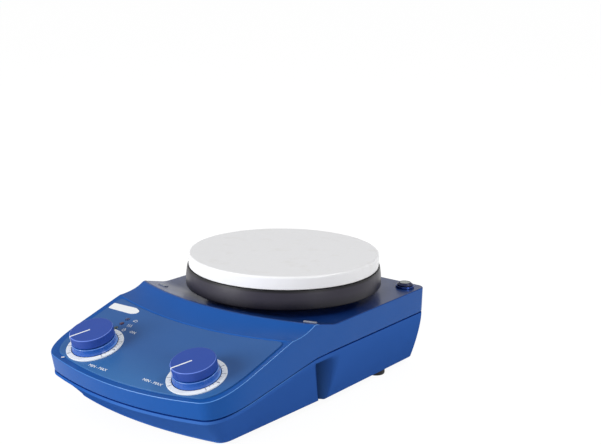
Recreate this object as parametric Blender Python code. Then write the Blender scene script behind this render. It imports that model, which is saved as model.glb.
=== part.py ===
"""Hotplate stirrer: a low moulded console with two dials and a round heated plate.

Metres, +Z up, front towards -Y, origin on the table under the middle of the body.
A run is a distance back from the foremost point of the body.
"""
import math
from collections import namedtuple

import bmesh
import bpy
from mathutils import Matrix, Vector

mm = 0.001
degree = math.pi / 180

# Fits shared by every piece
seat_gap = 0.3 * mm
overrun = 2 * mm
weld = 0.001 * mm
fine_steps = 40
round_steps = 24
small_steps = 10
knob_steps = 32
curve_steps = 6
edge_steps = 4
bolt_sides = 6

# Body outline
body_width = 150 * mm
body_depth = 232 * mm
deck_height = 58 * mm
table_gap = 4.5 * mm
wall = 2.5 * mm
nose_radius = 240 * mm
corner_across = 13 * mm
corner_along = 30 * mm
rear_corner = 6 * mm
nose_steps = 5
side_runs = (60 * mm, 80 * mm, 95 * mm)
flank_run_shares = (0.08, 0.2, 0.45, 0.7)

# Shut line between the two shells
seam_height = 40.4 * mm
seam_fall = 8.5 * degree
seam_bend_run = 106 * mm
seam_bend = 8 * mm
seam_setback = 2.2 * mm
seam_draw = 0.5 * mm
seam_gap = 0.5 * mm
seam_bend_shares = (-1, -0.5, 0, 0.5, 1)

# Sloping console, cove, ridge and ramp on the upper shell
crest_height = 35.4 * mm
console_tilt = 16.33 * degree
cove_run = 69 * mm
cove_sweep = 9.8 * mm
cove_bend_run = 77.2 * mm
cove_bend_sweep = 15.8 * mm
ridge_run = 87.5 * mm
ridge_sweep = 15 * mm
ridge_rise = 5.1 * mm
ridge_round = 2.2 * mm
ridge_drop = 0.5 * mm
ramp_run = 111 * mm
ramp_sweep = 12 * mm
ramp_round = 4 * mm

# Reach of the solids that shape the upper shell
form_base = 18 * mm
form_over = 6.9 * mm
form_lead = 20 * mm
form_columns = 12

# Rim round the console and the film that lies in it
rim_edge = 0.8 * mm
rim_width = 4.5 * mm
rim_depth = 0.9 * mm
film_margin = 0.4 * mm
film_thickness = 0.5 * mm
film_corner = 5 * mm
film_back_shares = (0.8, 0.6, 0.4, 0.2)

# Lower shell
lip_height = 2.5 * mm
base_setback = 21.5 * mm
base_fore_inset = 12.5 * mm
base_flare = 3 * mm
base_flank_inset = 8 * mm
base_corner_across = 5 * mm
base_corner_along = 9 * mm
base_edge = 1.3 * mm
flank_curve_share = 1.5
ring_shares = (1, 0.66, 0.33, 0)
scoop_run = 103 * mm
scoop_foot_run = 119 * mm
scoop_depth = 12 * mm
scoop_length = 27 * mm
scoop_foot_length = 8 * mm
scoop_roof = 3.6 * mm
scoop_shares = (-0.15, 0, 0.33, 0.66, 1, 1.15)
scoop_steps = 7
step_length = 0.2 * mm

# Posts and screws that hold the shells together; rear ones are measured from the back and the side
post_radius = 5 * mm
post_joint_height = 24 * mm
front_post = (18 * mm, 30 * mm)
rear_post_inset = (18 * mm, 64 * mm)
screw_radius = 1.5 * mm
screw_head_radius = 2.8 * mm
screw_head_height = 2 * mm
screw_sink = 9 * mm
screw_grip = 7 * mm

# Rubber feet
foot_radius = 6.5 * mm
foot_peg_radius = 3 * mm
foot_peg_reach = 1.5 * mm
foot_edge = 1 * mm
front_foot_inset = 12.5 * mm
front_foot_run = 58 * mm
rear_foot_inset = (8.5 * mm, 37 * mm)

# Vent slots
vent_width = 3 * mm
vent_length = 34 * mm
vent_pitch = 7 * mm
vent_count = 6
floor_vent_run = 120 * mm
floor_vent_across = 20.4 * mm
rear_vent_height = 15 * mm
rear_vent_inset = 36 * mm
rear_vent_pitch = 5.6 * mm
rear_vent_level = 24 * mm

# Hot plate stack
plate_setback = 68 * mm
plate_radius = 66 * mm
plate_rise = 9.2 * mm
plate_edge = 1.6 * mm
plate_edge_share = 0.3
plate_spigot = 4 * mm
tray_radius = 67.9 * mm
tray_lift = 5 * mm
tray_height = 12.8 * mm
tray_wall = 3 * mm
tray_floor = 2 * mm
tray_lip = 1.05 * mm
tray_foot = 0.8 * mm
tray_bulge = 0.25 * mm
insulation_thickness = 3.4 * mm
insulation_radius = 61 * mm
heater_radius = 56 * mm
heater_bore = 8 * mm
neck_radius = 52 * mm
neck_bore = 42 * mm
deck_bore = 40 * mm
stud_circle = 47 * mm
stud_radius = 2 * mm
stud_bite = 4 * mm
bolt_head_height = 3 * mm
bolt_head_radius = 4.2 * mm
sensor_radius = 3 * mm
sensor_flange = 1.6 * mm
sensor_flange_height = 1.5 * mm
sensor_drop = 2.2 * mm

# Motor and the magnets that it turns
motor_radius = 19 * mm
motor_base = 12.3 * mm
motor_cap = 2.7 * mm
motor_clear = 2.5 * mm
motor_wall = 1.2 * mm
motor_neck_radius = 6 * mm
motor_neck_height = 1.4 * mm
shaft_radius = 2 * mm
bush_radius = 4 * mm
bush_height = 4 * mm
core_radius = 12 * mm
core_base = 19 * mm
core_share = 0.51
field_thickness = 3.5 * mm
shaft_base = 10 * mm
bracket_thickness = 1.5 * mm
bracket_half = 34 * mm
bracket_width = 34 * mm
bracket_foot = 12 * mm
bracket_post_radius = 4 * mm
bracket_seat = 10 * mm
bracket_screw_inset = 5 * mm
small_screw_radius = 1.2 * mm
small_screw_head = 2.4 * mm
small_screw_grip = 2.5 * mm
carrier_drop = 7.5 * mm
carrier_radius = 30 * mm
carrier_thickness = 4 * mm
magnet_radius = 8 * mm
magnet_height = 8 * mm
magnet_offset = 20 * mm

# Dials, measured from the face of the film
dial_inset = 31.5 * mm
dial_run = 27.2 * mm
dial_ring_radius = 18.5 * mm
dial_ring_bore = 15.2 * mm
dial_ring_thickness = 0.7 * mm
knob_radius = 13.9 * mm
knob_height = 11.9 * mm
knob_edge = 0.7 * mm
knob_cap_base = 6 * mm
knob_groove_radius = 12.4 * mm
knob_collar_radius = 14.2 * mm
knob_collar_top = 5.2 * mm
knob_lift = 0.9 * mm
knob_recess_radius = 8.2 * mm
knob_recess_top = 3.6 * mm
knob_bore_top = 8.6 * mm
spindle_radius = 2.5 * mm
spindle_tip = 8.2 * mm
spindle_tail = 9 * mm
regulator_radius = 8.5 * mm
regulator_height = 10 * mm
bush_thread_radius = 3.8 * mm
bush_thread_top = 2.9 * mm
dial_nut_radius = 6.3 * mm
dial_nut_height = 2 * mm

# Lamps
lamp_inset = 29.3 * mm
lamp_run = 52.6 * mm
lamp_pitch = 5.2 * mm
lamp_radius = 1.4 * mm
lamp_dome = 0.5 * mm
lamp_flange = 0.9 * mm
lamp_tail = 2 * mm

# Circuit board
board_side_clear = 11 * mm
board_run = 44 * mm
board_length = 54 * mm
board_height = 12 * mm
board_thickness = 1.6 * mm
board_inset = 5 * mm
board_post_radius = 3 * mm
board_peg_radius = 1.2 * mm
board_peg_reach = 1 * mm
sink_size = (24 * mm, 14 * mm, 12 * mm)
sink_inset = (18 * mm, 14 * mm)
sink_fin_gap = 2.4 * mm
sink_fins = 5
capacitor_radius = 4 * mm
capacitor_height = 11 * mm
capacitor_place = (2 * mm, 84 * mm)
capacitor_pitch = 11 * mm
capacitor_count = 3
terminal_size = (8 * mm, 8 * mm, 9 * mm)
terminal_place = (-20 * mm, 58 * mm)
terminal_pitch = 10 * mm
terminal_count = 4

# Mains inlet with its fuse drawer, in the rear wall
inlet_inset = 35 * mm
inlet_level = 22.5 * mm
flange_thickness = 1.6 * mm
inlet_flange_half = (17 * mm, 15.8 * mm)
inlet_body_half = (13.8 * mm, 14.3 * mm)
inlet_body_depth = 23 * mm
socket_half = (12.1 * mm, 8.1 * mm)
socket_lift = 4.6 * mm
socket_depth = 15 * mm
socket_chamfer = 4 * mm
pin_half = (1 * mm, 2 * mm)
pin_spread = 7 * mm
pin_stagger = 4 * mm
pin_length = 13 * mm
pin_tail = 7 * mm
drawer_half = (10.2 * mm, 3 * mm)
drawer_drop = 9.9 * mm
drawer_depth = 19 * mm
drawer_play = 0.3 * mm
drawer_grip = 1.2 * mm
fuse_radius = 2.3 * mm
fuse_length = 17 * mm
fuse_inset = 5 * mm
drawer_skin = 0.6 * mm

# Rocker switch, in the rear wall
switch_share = 0.55
switch_flange_half = (7.5 * mm, 11 * mm)
switch_body_half = (6.4 * mm, 9.6 * mm)
switch_body_depth = 14 * mm
switch_cavity_half = (5.1 * mm, 8.5 * mm)
switch_cavity_depth = 8 * mm
rocker_half = 4.7 * mm
rocker_radius = 8 * mm
rocker_pivot_depth = 0.9 * mm
rocker_raised = 34 * degree
rocker_pressed = 18 * degree
rocker_low = 25 * degree
rocker_waist = 2.2 * mm
rocker_steps = 5
trunnion_radius = 1.2 * mm
trunnion_reach = 0.7 * mm

# Socket for a support rod, in the rear right of the deck
rod_inset = 11 * mm
rod_boss_radius = 6.6 * mm
rod_boss_height = 1.2 * mm
rod_sleeve_radius = 5.4 * mm
rod_sleeve_length = 20 * mm
rod_bore_radius = 4.2 * mm
rod_bore_depth = 17 * mm
rod_nut_radius = 7.4 * mm
rod_nut_height = 4 * mm
plug_stem_radius = 3.8 * mm
plug_stem_length = 1.6 * mm
plug_cap_radius = 5.6 * mm
plug_cap_height = 1.8 * mm
plug_rim_height = 0.6 * mm

# Places worked out from the sizes above
rear_proud = rocker_radius * math.sin(rocker_raised) - rocker_pivot_depth
front_y = -(body_depth + rear_proud) / 2
rear_y = front_y + body_depth
side_half = body_width / 2
console_slope = math.tan(console_tilt)
seam_slope = math.tan(seam_fall)
rim_floor = film_thickness + seat_gap
film_drop = rim_depth - rim_floor
console_skin = (wall - film_drop) * math.cos(console_tilt)
plate_axis = Vector((0, rear_y - plate_setback, 0))
ceiling = deck_height - wall
ridge_height = deck_height + ridge_rise
form_top = ridge_height + form_over
base_fore_half = side_half - base_fore_inset
base_flank_half = side_half - base_flank_inset
rear_post = (side_half - rear_post_inset[0], body_depth - rear_post_inset[1])
front_foot = (base_fore_half - front_foot_inset, front_foot_run)
rear_foot = (base_flank_half - rear_foot_inset[0], body_depth - rear_foot_inset[1])
dial_across = side_half - dial_inset
lamp_across = side_half - lamp_inset
board_half = base_fore_half - board_side_clear
inlet_across = inlet_inset - side_half
rear_vent_across = side_half - rear_vent_inset
switch_across = inlet_across + (rear_vent_across - inlet_across) * switch_share
rod_across = side_half - rod_inset
tray_bottom = deck_height + tray_lift
tray_top = tray_bottom + tray_height
plate_top = tray_top + plate_rise
floor_top = table_gap + wall
heater_base = tray_bottom + tray_floor + insulation_thickness + 2 * seat_gap
heater_top = tray_top - plate_spigot
carrier_base = ceiling - carrier_drop
bracket_top = carrier_base - motor_clear
motor_top = bracket_top - bracket_thickness - seat_gap
core_height = (motor_top - motor_base) * core_share
rear_face = rear_y + seat_gap

# Colours as seen on the object: base colour, roughness, metallic
body_blue = ((0.028, 0.115, 0.36), 0.35, 0.0)
film_blue = ((0.07, 0.17, 0.36), 0.3, 0.0)
knob_blue = ((0.045, 0.085, 0.42), 0.4, 0.0)
ceramic_white = ((0.9, 0.9, 0.9), 0.25, 0.0)
tray_grey = ((0.05, 0.045, 0.05), 0.4, 0.0)
rubber_black = ((0.015, 0.015, 0.015), 0.8, 0.0)
plastic_black = ((0.02, 0.02, 0.022), 0.5, 0.0)
ring_white = ((0.85, 0.86, 0.88), 0.4, 0.0)
steel_grey = ((0.55, 0.56, 0.58), 0.3, 1.0)
brass_yellow = ((0.72, 0.5, 0.2), 0.3, 1.0)
copper_red = ((0.7, 0.32, 0.18), 0.35, 1.0)
mica_tan = ((0.5, 0.4, 0.26), 0.6, 0.0)
fibre_white = ((0.75, 0.73, 0.68), 0.9, 0.0)
board_green = ((0.02, 0.18, 0.07), 0.45, 0.0)
lamp_red = ((0.35, 0.02, 0.02), 0.2, 0.0)
lamp_blue = ((0.02, 0.05, 0.3), 0.2, 0.0)
lamp_green = ((0.02, 0.25, 0.08), 0.2, 0.0)
glass_clear = ((0.7, 0.8, 0.78), 0.1, 0.0)

Level = namedtuple("Level", "front fore flare flank back across along step")


def clear_scene():
    for thing in list(bpy.data.objects):
        bpy.data.objects.remove(thing, do_unlink=True)


def material(name, look):
    """Principled material with the colour, roughness and metallic value of one look."""
    colour, roughness, metallic = look
    made = bpy.data.materials.new(name + "_finish")
    made.use_nodes = True
    shader = made.node_tree.nodes["Principled BSDF"]
    shader.inputs["Base Color"].default_value = (*colour, 1)
    shader.inputs["Roughness"].default_value = roughness
    shader.inputs["Metallic"].default_value = metallic
    return made


def add(name, mesh, look, matrix=Matrix()):
    """Link a mesh as one named sub-part, shaded smooth where it is round."""
    data = bpy.data.meshes.new(name)
    bmesh.ops.recalc_face_normals(mesh, faces=mesh.faces)
    mesh.to_mesh(data)
    mesh.free()
    data.shade_smooth()
    data.set_sharp_from_angle(angle=35 * degree)
    data.materials.append(material(name, look))
    piece = bpy.data.objects.new(name, data)
    piece.matrix_world = matrix
    bpy.context.collection.objects.link(piece)
    return piece


def tool(name, mesh, matrix=Matrix()):
    """A cutter or joiner that only shapes other pieces."""
    shape = add(name, mesh, plastic_black, matrix)
    shape.hide_render = True
    shape.display_type = "WIRE"
    return shape


def combine(piece, other, operation):
    change = piece.modifiers.new(other.name, "BOOLEAN")
    change.operation = operation
    change.solver = "EXACT"
    change.object = other


def cut(piece, *others):
    for other in others:
        combine(piece, other, "DIFFERENCE")


def join(piece, other):
    combine(piece, other, "UNION")


def mix(low, high, share):
    return low + (high - low) * share


def bezier(start, bend, end, steps):
    """Points of a quadratic curve between two 2-D points."""
    points = []
    for step in range(steps + 1):
        t = step / steps
        points.append(tuple((1 - t) ** 2 * a + 2 * t * (1 - t) * b + t ** 2 * c
                            for a, b, c in zip(start, bend, end)))
    return points


def arc(centre, radius, start, end, steps):
    points = []
    for step in range(steps + 1):
        angle = mix(start, end, step / steps)
        points.append((centre[0] + radius * math.cos(angle), centre[1] + radius * math.sin(angle)))
    return points


def lathe(profile, steps=round_steps):
    """Turn a (radius, height) profile about Z; it closes on itself where it stays off the axis."""
    mesh = bmesh.new()
    verts = [mesh.verts.new((radius, 0, height)) for radius, height in profile]
    edges = [mesh.edges.new(pair) for pair in zip(verts, verts[1:])]
    if profile[0][0] > 0:
        edges.append(mesh.edges.new((verts[-1], verts[0])))
    bmesh.ops.spin(mesh, geom=verts + edges, axis=(0, 0, 1), cent=(0, 0, 0), angle=2 * math.pi,
                   steps=steps, use_merge=True)
    bmesh.ops.remove_doubles(mesh, verts=mesh.verts, dist=weld)
    return mesh


def rod(radius, low, high, steps=small_steps):
    return lathe([(0, low), (radius, low), (radius, high), (0, high)], steps)


def tube(bore, radius, low, high, steps=round_steps):
    return lathe([(bore, low), (radius, low), (radius, high), (bore, high)], steps)


def slab(outline, low, high):
    """Extrude a flat outline from one height to another."""
    mesh = bmesh.new()
    face = mesh.faces.new([mesh.verts.new((x, y, low)) for x, y in outline])
    grown = bmesh.ops.extrude_face_region(mesh, geom=[face])
    moved = [item for item in grown["geom"] if isinstance(item, bmesh.types.BMVert)]
    bmesh.ops.translate(mesh, verts=moved, vec=(0, 0, high - low))
    return mesh


def block(low, high):
    """A box between two opposite corners."""
    mesh = bmesh.new()
    size = Vector(high) - Vector(low)
    middle = (Vector(high) + Vector(low)) / 2
    bmesh.ops.create_cube(mesh, size=1, matrix=Matrix.Translation(middle) @ Matrix.Diagonal((*size, 1)))
    return mesh


def loft(rings):
    """Skin rings that have equal counts of points, and close both ends."""
    mesh = bmesh.new()
    loops = [[mesh.verts.new(point) for point in ring] for ring in rings]
    count = len(loops[0])
    for lower, upper in zip(loops, loops[1:]):
        for k in range(count):
            near, far = k, (k + 1) % count
            mesh.faces.new((lower[near], lower[far], upper[far], upper[near]))
    mesh.faces.new(reversed(loops[0]))
    mesh.faces.new(loops[-1])
    bmesh.ops.triangulate(mesh, faces=mesh.faces)
    return mesh


def gather(meshes):
    """Put separate solids into one mesh."""
    whole = bmesh.new()
    for mesh in meshes:
        holder = bpy.data.meshes.new("holder")
        bmesh.ops.recalc_face_normals(mesh, faces=mesh.faces)
        mesh.to_mesh(holder)
        mesh.free()
        whole.from_mesh(holder)
        bpy.data.meshes.remove(holder)
    return whole


def moved(mesh, x=0, y=0, z=0):
    bmesh.ops.translate(mesh, verts=mesh.verts, vec=(x, y, z))
    return mesh


def rectangle(half_x, half_y):
    return [(-half_x, -half_y), (half_x, -half_y), (half_x, half_y), (-half_x, half_y)]


def hexagon(radius):
    return arc((0, 0), radius, 0, 2 * math.pi, bolt_sides)[:-1]


def bow(across):
    """How far the bowed front edge falls back at a distance from the middle."""
    return nose_radius - math.sqrt(nose_radius ** 2 - across ** 2)


def front_half(front, half, across, along):
    """Bowed front edge and its right corner as (across, run), from the middle outwards."""
    start = half - across
    slope = start / math.sqrt(nose_radius ** 2 - start ** 2)
    nose = [(start * k / nose_steps, front + bow(start * k / nose_steps)) for k in range(nose_steps)]
    bend = (half, front + bow(start) + slope * across)
    return nose + bezier((start, front + bow(start)), bend, (half, bend[1] + along), curve_steps)


def half_outline(level):
    """Right half of the body's plan as (across, run), from the nose to the middle of the back."""
    fore = front_half(level.front, level.fore, level.across, level.along)
    bent = fore[-1][1]
    step = level.step - step_length / 2
    for run in side_runs + (step,):
        fore.append((level.fore + level.flare * (run - bent) / (step - bent), run))
    flank = [(level.flank, level.step + step_length / 2)]
    for share in flank_run_shares:
        flank.append((level.flank, mix(level.step, level.back, share)))
    rear = arc((level.flank - rear_corner, level.back - rear_corner), rear_corner, 0, math.pi / 2, edge_steps)
    return fore + flank + rear + [(0, level.back)]


def body_ring(level, height_at):
    """Closed ring of the body in space; height_at gives a height for each run."""
    right = half_outline(level)
    left = [(-across, run) for across, run in reversed(right[1:-1])]
    return [Vector((across, front_y + run, height_at(run))) for across, run in right + left]


def seam(run):
    """Height of the shut line: level at the back, falling towards the front."""
    ahead = seam_bend_run - run
    if ahead <= -seam_bend:
        return seam_height
    if ahead >= seam_bend:
        return seam_height - seam_slope * ahead
    return seam_height - seam_slope * (ahead + seam_bend) ** 2 / (4 * seam_bend)


def console(run):
    return crest_height + console_slope * run


def seam_level(inset=0):
    """Plan of the body at the shut line, drawn in by an inset."""
    half = side_half - seam_draw - inset
    return Level(seam_setback + inset, half, 0, half, body_depth - inset, corner_across, corner_along,
                 scoop_run)


def base_level(inset=0):
    """Plan of the body at its base, drawn in by an inset."""
    return Level(base_setback + inset, base_fore_half - inset, base_flare, base_flank_half - inset,
                 body_depth - inset, base_corner_across, base_corner_along, scoop_foot_run)


def between(top, foot, share):
    """Plan part of the way down from one level to another."""
    level = Level(*(mix(high, low, share) for high, low in zip(top, foot)))
    return level._replace(flank=mix(top.flank, foot.flank, share ** flank_curve_share))


def lower_rings(inset, lift, top_height):
    """Rings of the lower shell from the base up past the seam, drawn in by an inset."""
    top = seam_level(inset)
    rings = []
    for share in ring_shares:
        level = between(top, base_level(inset), share)
        rings.append(body_ring(level, lambda run, t=share: mix(seam(run) - lip_height, table_gap + lift, t)))
    rings.append(body_ring(top, lambda run: top_height))
    return rings


def lower_outer():
    """Outside of the lower shell, with its bottom edge broken."""
    rings = lower_rings(0, base_edge, seam_height + lip_height)
    return loft([body_ring(base_level(base_edge), lambda run: table_gap)] + rings)


def seam_wedge(low, high):
    """Solid across the body between two surfaces that follow the shut line."""
    reach = side_half + overrun
    bend = [seam_bend_run + seam_bend * share for share in seam_bend_shares]
    runs = [-overrun] + bend + [body_depth + overrun]
    lower = [(front_y + run, low(run)) for run in runs]
    upper = [(front_y + run, high(run)) for run in reversed(runs)]
    return loft([[Vector((side, y, z)) for y, z in lower + upper] for side in (-reach, reach)])


def scoop_solid(side, grow):
    """Finger scoop under the seam: a raked front wall, then a curve running out to the flank."""
    roof = seam_height - scoop_roof + grow
    rings = []
    for share in scoop_shares:
        bounded = min(max(share, 0), 1)
        level = between(seam_level(), base_level(), bounded)
        length = mix(scoop_length, scoop_foot_length, bounded)
        height = mix(seam_height - lip_height, table_gap, share)
        height = min(height, roof) if share <= 0 else height
        start = mix(scoop_run, scoop_foot_run, share)
        points = [(level.flank + scoop_depth, start - grow)]
        if grow:
            points.append((level.flank - scoop_depth - grow, start - grow))
        for step in range(scoop_steps + 1):
            u = step / scoop_steps
            depth = scoop_depth * (1 - u) ** 2 - base_edge * u + grow
            points.append((level.flank - depth, start + grow + length * u))
        points.append((level.flank + scoop_depth, start + grow + length))
        rings.append([Vector((side * across, front_y + run, height)) for across, run in points])
    rings[0] = [Vector((point.x, point.y, roof)) for point in rings[1]]
    return loft(rings)


def scoops(name, grow):
    return tool(name, gather([scoop_solid(side, grow) for side in (-1, 1)]))


def top_profile(across, drop):
    """Console, cove, ridge, ramp and deck as (run, height), at a distance from the middle."""
    share = (across / side_half) ** 2
    base = cove_run + cove_sweep * share
    bend = (cove_bend_run + cove_bend_sweep * share, deck_height + ridge_drop * share)
    crown = ridge_run + ridge_sweep * share
    foot = ramp_run + ramp_sweep * share
    rise = (crown - ridge_round, ridge_height - ridge_drop)
    fall = (crown + ridge_round, ridge_height - ridge_drop)
    fall_slope = (fall[1] - deck_height) / (foot - fall[0])
    points = [(-form_lead, console(-form_lead))]
    points += bezier((base, console(base)), bend, rise, curve_steps)
    points += bezier(rise, (crown, ridge_height + ridge_drop), fall, edge_steps)[1:]
    points += bezier((foot - ramp_round, deck_height + fall_slope * ramp_round), (foot, deck_height),
                     (foot + ramp_round, deck_height), edge_steps)
    points.append((body_depth + overrun, deck_height))
    return [(run, height - drop) for run, height in points]


def above_top(drop):
    """Everything above the top surface of the upper shell, lowered by a drop."""
    reach = side_half + overrun
    rings = []
    for column in range(form_columns + 1):
        across = mix(-reach, reach, column / form_columns)
        profile = top_profile(across, drop)
        profile += [(body_depth + overrun, form_top), (-form_lead, form_top)]
        rings.append([Vector((across, front_y + run, height)) for run, height in profile])
    return loft(rings)


def upper_rings(inset, base_height):
    """Rings of the upper shell, from under the seam up past the ridge."""
    top = seam_level(inset)
    high = form_top - overrun - seam_height
    face_slope = (crest_height - seam(seam_setback)) / seam_setback
    raised = top._replace(front=top.front - high / (face_slope + seam_slope), fore=top.fore + seam_draw,
                          flank=top.flank + seam_draw)
    return [body_ring(top, lambda run: base_height), body_ring(top, seam),
            body_ring(raised, lambda run: seam(run) + high)]


def console_outline(margin, rear_margin):
    """Plan of the console's film, or of its rim where the margins are smaller."""
    half = side_half - margin

    def back(across):
        return cove_run + cove_sweep * (across / side_half) ** 2 - rear_margin

    turn = half - film_corner
    rear = bezier((half, back(half) - film_corner), (half, back(half)), (turn, back(turn)), edge_steps)
    back_line = [(turn * share, back(turn * share)) for share in film_back_shares]
    right = front_half(margin, half, corner_across, corner_along) + rear + back_line + [(0, back(0))]
    left = [(-across, run) for across, run in reversed(right[1:-1])]
    return right + left


def console_slice(outline, drop):
    return [Vector((across, front_y + run, console(run) - drop)) for across, run in outline]


def console_frame(across, run):
    """Frame on the face of the film, with its Z square to the console."""
    origin = Vector((across, front_y + run, console(run) - film_drop))
    return Matrix.Translation(origin) @ Matrix.Rotation(console_tilt, 4, "X")


def posts_at():
    return [(side * across, front_y + run) for across, run in (front_post, rear_post) for side in (-1, 1)]


def studs_at():
    turns = [math.pi / 4 + math.pi / 2 * k for k in range(4)]
    return [(stud_circle * math.cos(turn), plate_axis.y + stud_circle * math.sin(turn)) for turn in turns]


def board_posts_at():
    runs = (board_run + board_inset, board_run + board_length - board_inset)
    return [(side * (board_half - board_inset), front_y + run) for run in runs for side in (-1, 1)]


def bracket_posts_at():
    across = bracket_half + bracket_foot - bracket_screw_inset
    return [(side * across, plate_axis.y) for side in (-1, 1)]


def many(places, make):
    return gather([moved(make(), x, y) for x, y in places])


def floor_vents():
    slots = []
    for k in range(vent_count):
        y = front_y + floor_vent_run - k * vent_pitch
        for side in (-1, 1):
            x = side * floor_vent_across
            slots.append(block((x - vent_length / 2, y - vent_width / 2, 0),
                               (x + vent_length / 2, y + vent_width / 2, floor_top + overrun)))
    return gather(slots)


def rear_vents():
    slots = []
    half = (vent_width / 2, rear_vent_height / 2)
    for k in range(vent_count):
        across = rear_vent_across + (k - (vent_count - 1) / 2) * rear_vent_pitch
        slots.append(rear_box(across, rear_vent_level, half, -wall - overrun, overrun))
    return gather(slots)


def feet_at():
    return [(side * across, front_y + run) for across, run in (front_foot, rear_foot) for side in (-1, 1)]


def make_lower_housing():
    shell = add("lower_housing", lower_outer(), body_blue)
    inside = tool("lower_inside", loft(lower_rings(wall, wall, deck_height)))
    cut(inside, scoops("scoop_walls", wall))
    cut(shell, inside)
    join(shell, tool("lower_posts", gather([
        many(posts_at(), lambda: rod(post_radius, table_gap + base_edge, post_joint_height)),
        many(board_posts_at(), lambda: lathe(board_post_profile(), small_steps)),
        many(bracket_posts_at(), lambda: rod(bracket_post_radius, table_gap + base_edge,
                                             bracket_seat - seat_gap))])))
    cut(shell, tool("above_seam", seam_wedge(lambda run: seam(run) - seam_gap / 2,
                                             lambda run: seam(run) + deck_height)))
    cut(shell, scoops("scoop_hollows", 0))
    clear = screw_radius + seat_gap
    screw_way = [(0, 0), (screw_head_radius + seat_gap, 0), (screw_head_radius + seat_gap, screw_sink),
                 (clear, screw_sink), (clear, post_joint_height + overrun), (0, post_joint_height + overrun)]
    pilot = small_screw_radius + seat_gap
    rear_half = [size + seat_gap for size in inlet_body_half]
    switch_half = [size + seat_gap for size in switch_body_half]
    cut(shell, tool("lower_ways", gather([
        floor_vents(),
        rear_vents(),
        rear_box(inlet_across, inlet_level, rear_half, -wall - overrun, overrun),
        rear_box(switch_across, inlet_level, switch_half, -wall - overrun, overrun),
        many(posts_at(), lambda: lathe(screw_way, small_steps)),
        many(feet_at(), lambda: rod(foot_peg_radius + seat_gap, 0, floor_top + overrun)),
        many(bracket_posts_at(), lambda: rod(pilot, floor_top, bracket_seat + overrun))])))


def board_post_profile():
    """Post under the circuit board, with a peg that passes through the board."""
    low, shoulder = table_gap + base_edge, board_height - seat_gap
    tip = board_height + board_thickness + board_peg_reach
    return [(0, low), (board_post_radius, low), (board_post_radius, shoulder), (board_peg_radius, shoulder),
            (board_peg_radius, tip), (0, tip)]


def rear_box(across, level, half, inner, outer):
    """A box square to the rear wall, between two distances out of it."""
    return block((across - half[0], rear_y + inner, level - half[1]),
                 (across + half[0], rear_y + outer, level + half[1]))


def make_upper_housing():
    shell = add("upper_housing", loft(upper_rings(0, form_base)), body_blue)
    inside = tool("upper_inside", loft(upper_rings(wall, form_base - overrun)))
    cut(inside, tool("ceiling_form", above_top(wall)))
    cut(shell, inside)
    join(shell, tool("upper_posts", many(posts_at(), lambda: rod(
        post_radius, post_joint_height + seat_gap, ridge_height))))
    cut(shell, tool("top_form", above_top(0)))
    below = seam_wedge(lambda run: seam(run) - deck_height, lambda run: seam(run) + seam_gap / 2)
    keep_off = tool("below_seam", below)
    cut(keep_off, tool("post_sleeves", many(posts_at(), lambda: rod(
        post_radius + overrun, seam(0) - deck_height - overrun, seam_height + overrun))))
    cut(shell, keep_off)
    rim = console_outline(rim_edge, 0)
    bed = console_outline(rim_width - film_margin, rim_edge)
    cut(shell, tool("rim_form", loft([console_slice(bed, rim_depth), console_slice(rim, 0),
                                      console_slice(rim, -overrun)])))
    cut(shell, tool("upper_ways", gather([
        console_ways(wall),
        moved(rod(deck_bore, ceiling - overrun, deck_height + overrun, fine_steps), y=plate_axis.y),
        moved(rod(rod_sleeve_radius + seat_gap, ceiling - overrun, deck_height + overrun, round_steps),
              rod_across, rear_y - rod_inset),
        many(studs_at(), lambda: rod(stud_radius + seat_gap, ceiling - overrun, deck_height + overrun)),
        many(posts_at(), lambda: rod(screw_radius + seat_gap, post_joint_height,
                                     post_joint_height + screw_grip + seat_gap))])))


def console_ways(depth):
    """Holes square to the console for the dial bushes and the lamps."""
    holes = [(side * dial_across, dial_run, bush_thread_radius) for side in (-1, 1)]
    holes += [(-lamp_across, lamp_run + step * lamp_pitch, lamp_radius) for step in (-1, 0, 1)]
    ways = []
    for across, run, radius in holes:
        way = rod(radius + seat_gap, -depth - overrun, overrun)
        bmesh.ops.transform(way, matrix=console_frame(across, run), verts=way.verts)
        ways.append(way)
    return gather(ways)


def make_panel_film():
    outline = console_outline(rim_width, rim_edge + film_margin)
    film = add("panel_film", loft([console_slice(outline, rim_depth - seat_gap),
                                   console_slice(outline, film_drop)]), film_blue)
    cut(film, tool("film_ways", console_ways(0)))


def make_feet():
    names = ("front_left_foot", "front_right_foot", "rear_left_foot", "rear_right_foot")
    top = table_gap - seat_gap
    profile = [(0, 0), (foot_radius - foot_edge, 0), (foot_radius, foot_edge), (foot_radius, top),
               (foot_peg_radius, top), (foot_peg_radius, floor_top + foot_peg_reach),
               (0, floor_top + foot_peg_reach)]
    for name, (x, y) in zip(names, feet_at()):
        add(name, moved(lathe(profile, round_steps), x, y), rubber_black)


def make_housing_screws():
    head = screw_sink - seat_gap
    profile = [(0, head - screw_head_height), (screw_head_radius, head - screw_head_height),
               (screw_head_radius, head), (screw_radius, head),
               (screw_radius, post_joint_height + screw_grip), (0, post_joint_height + screw_grip)]
    names = ("front_left_screw", "front_right_screw", "rear_left_screw", "rear_right_screw")
    for name, (x, y) in zip(names, posts_at()):
        add(name, moved(lathe(profile, small_steps), x, y), steel_grey)


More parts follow.
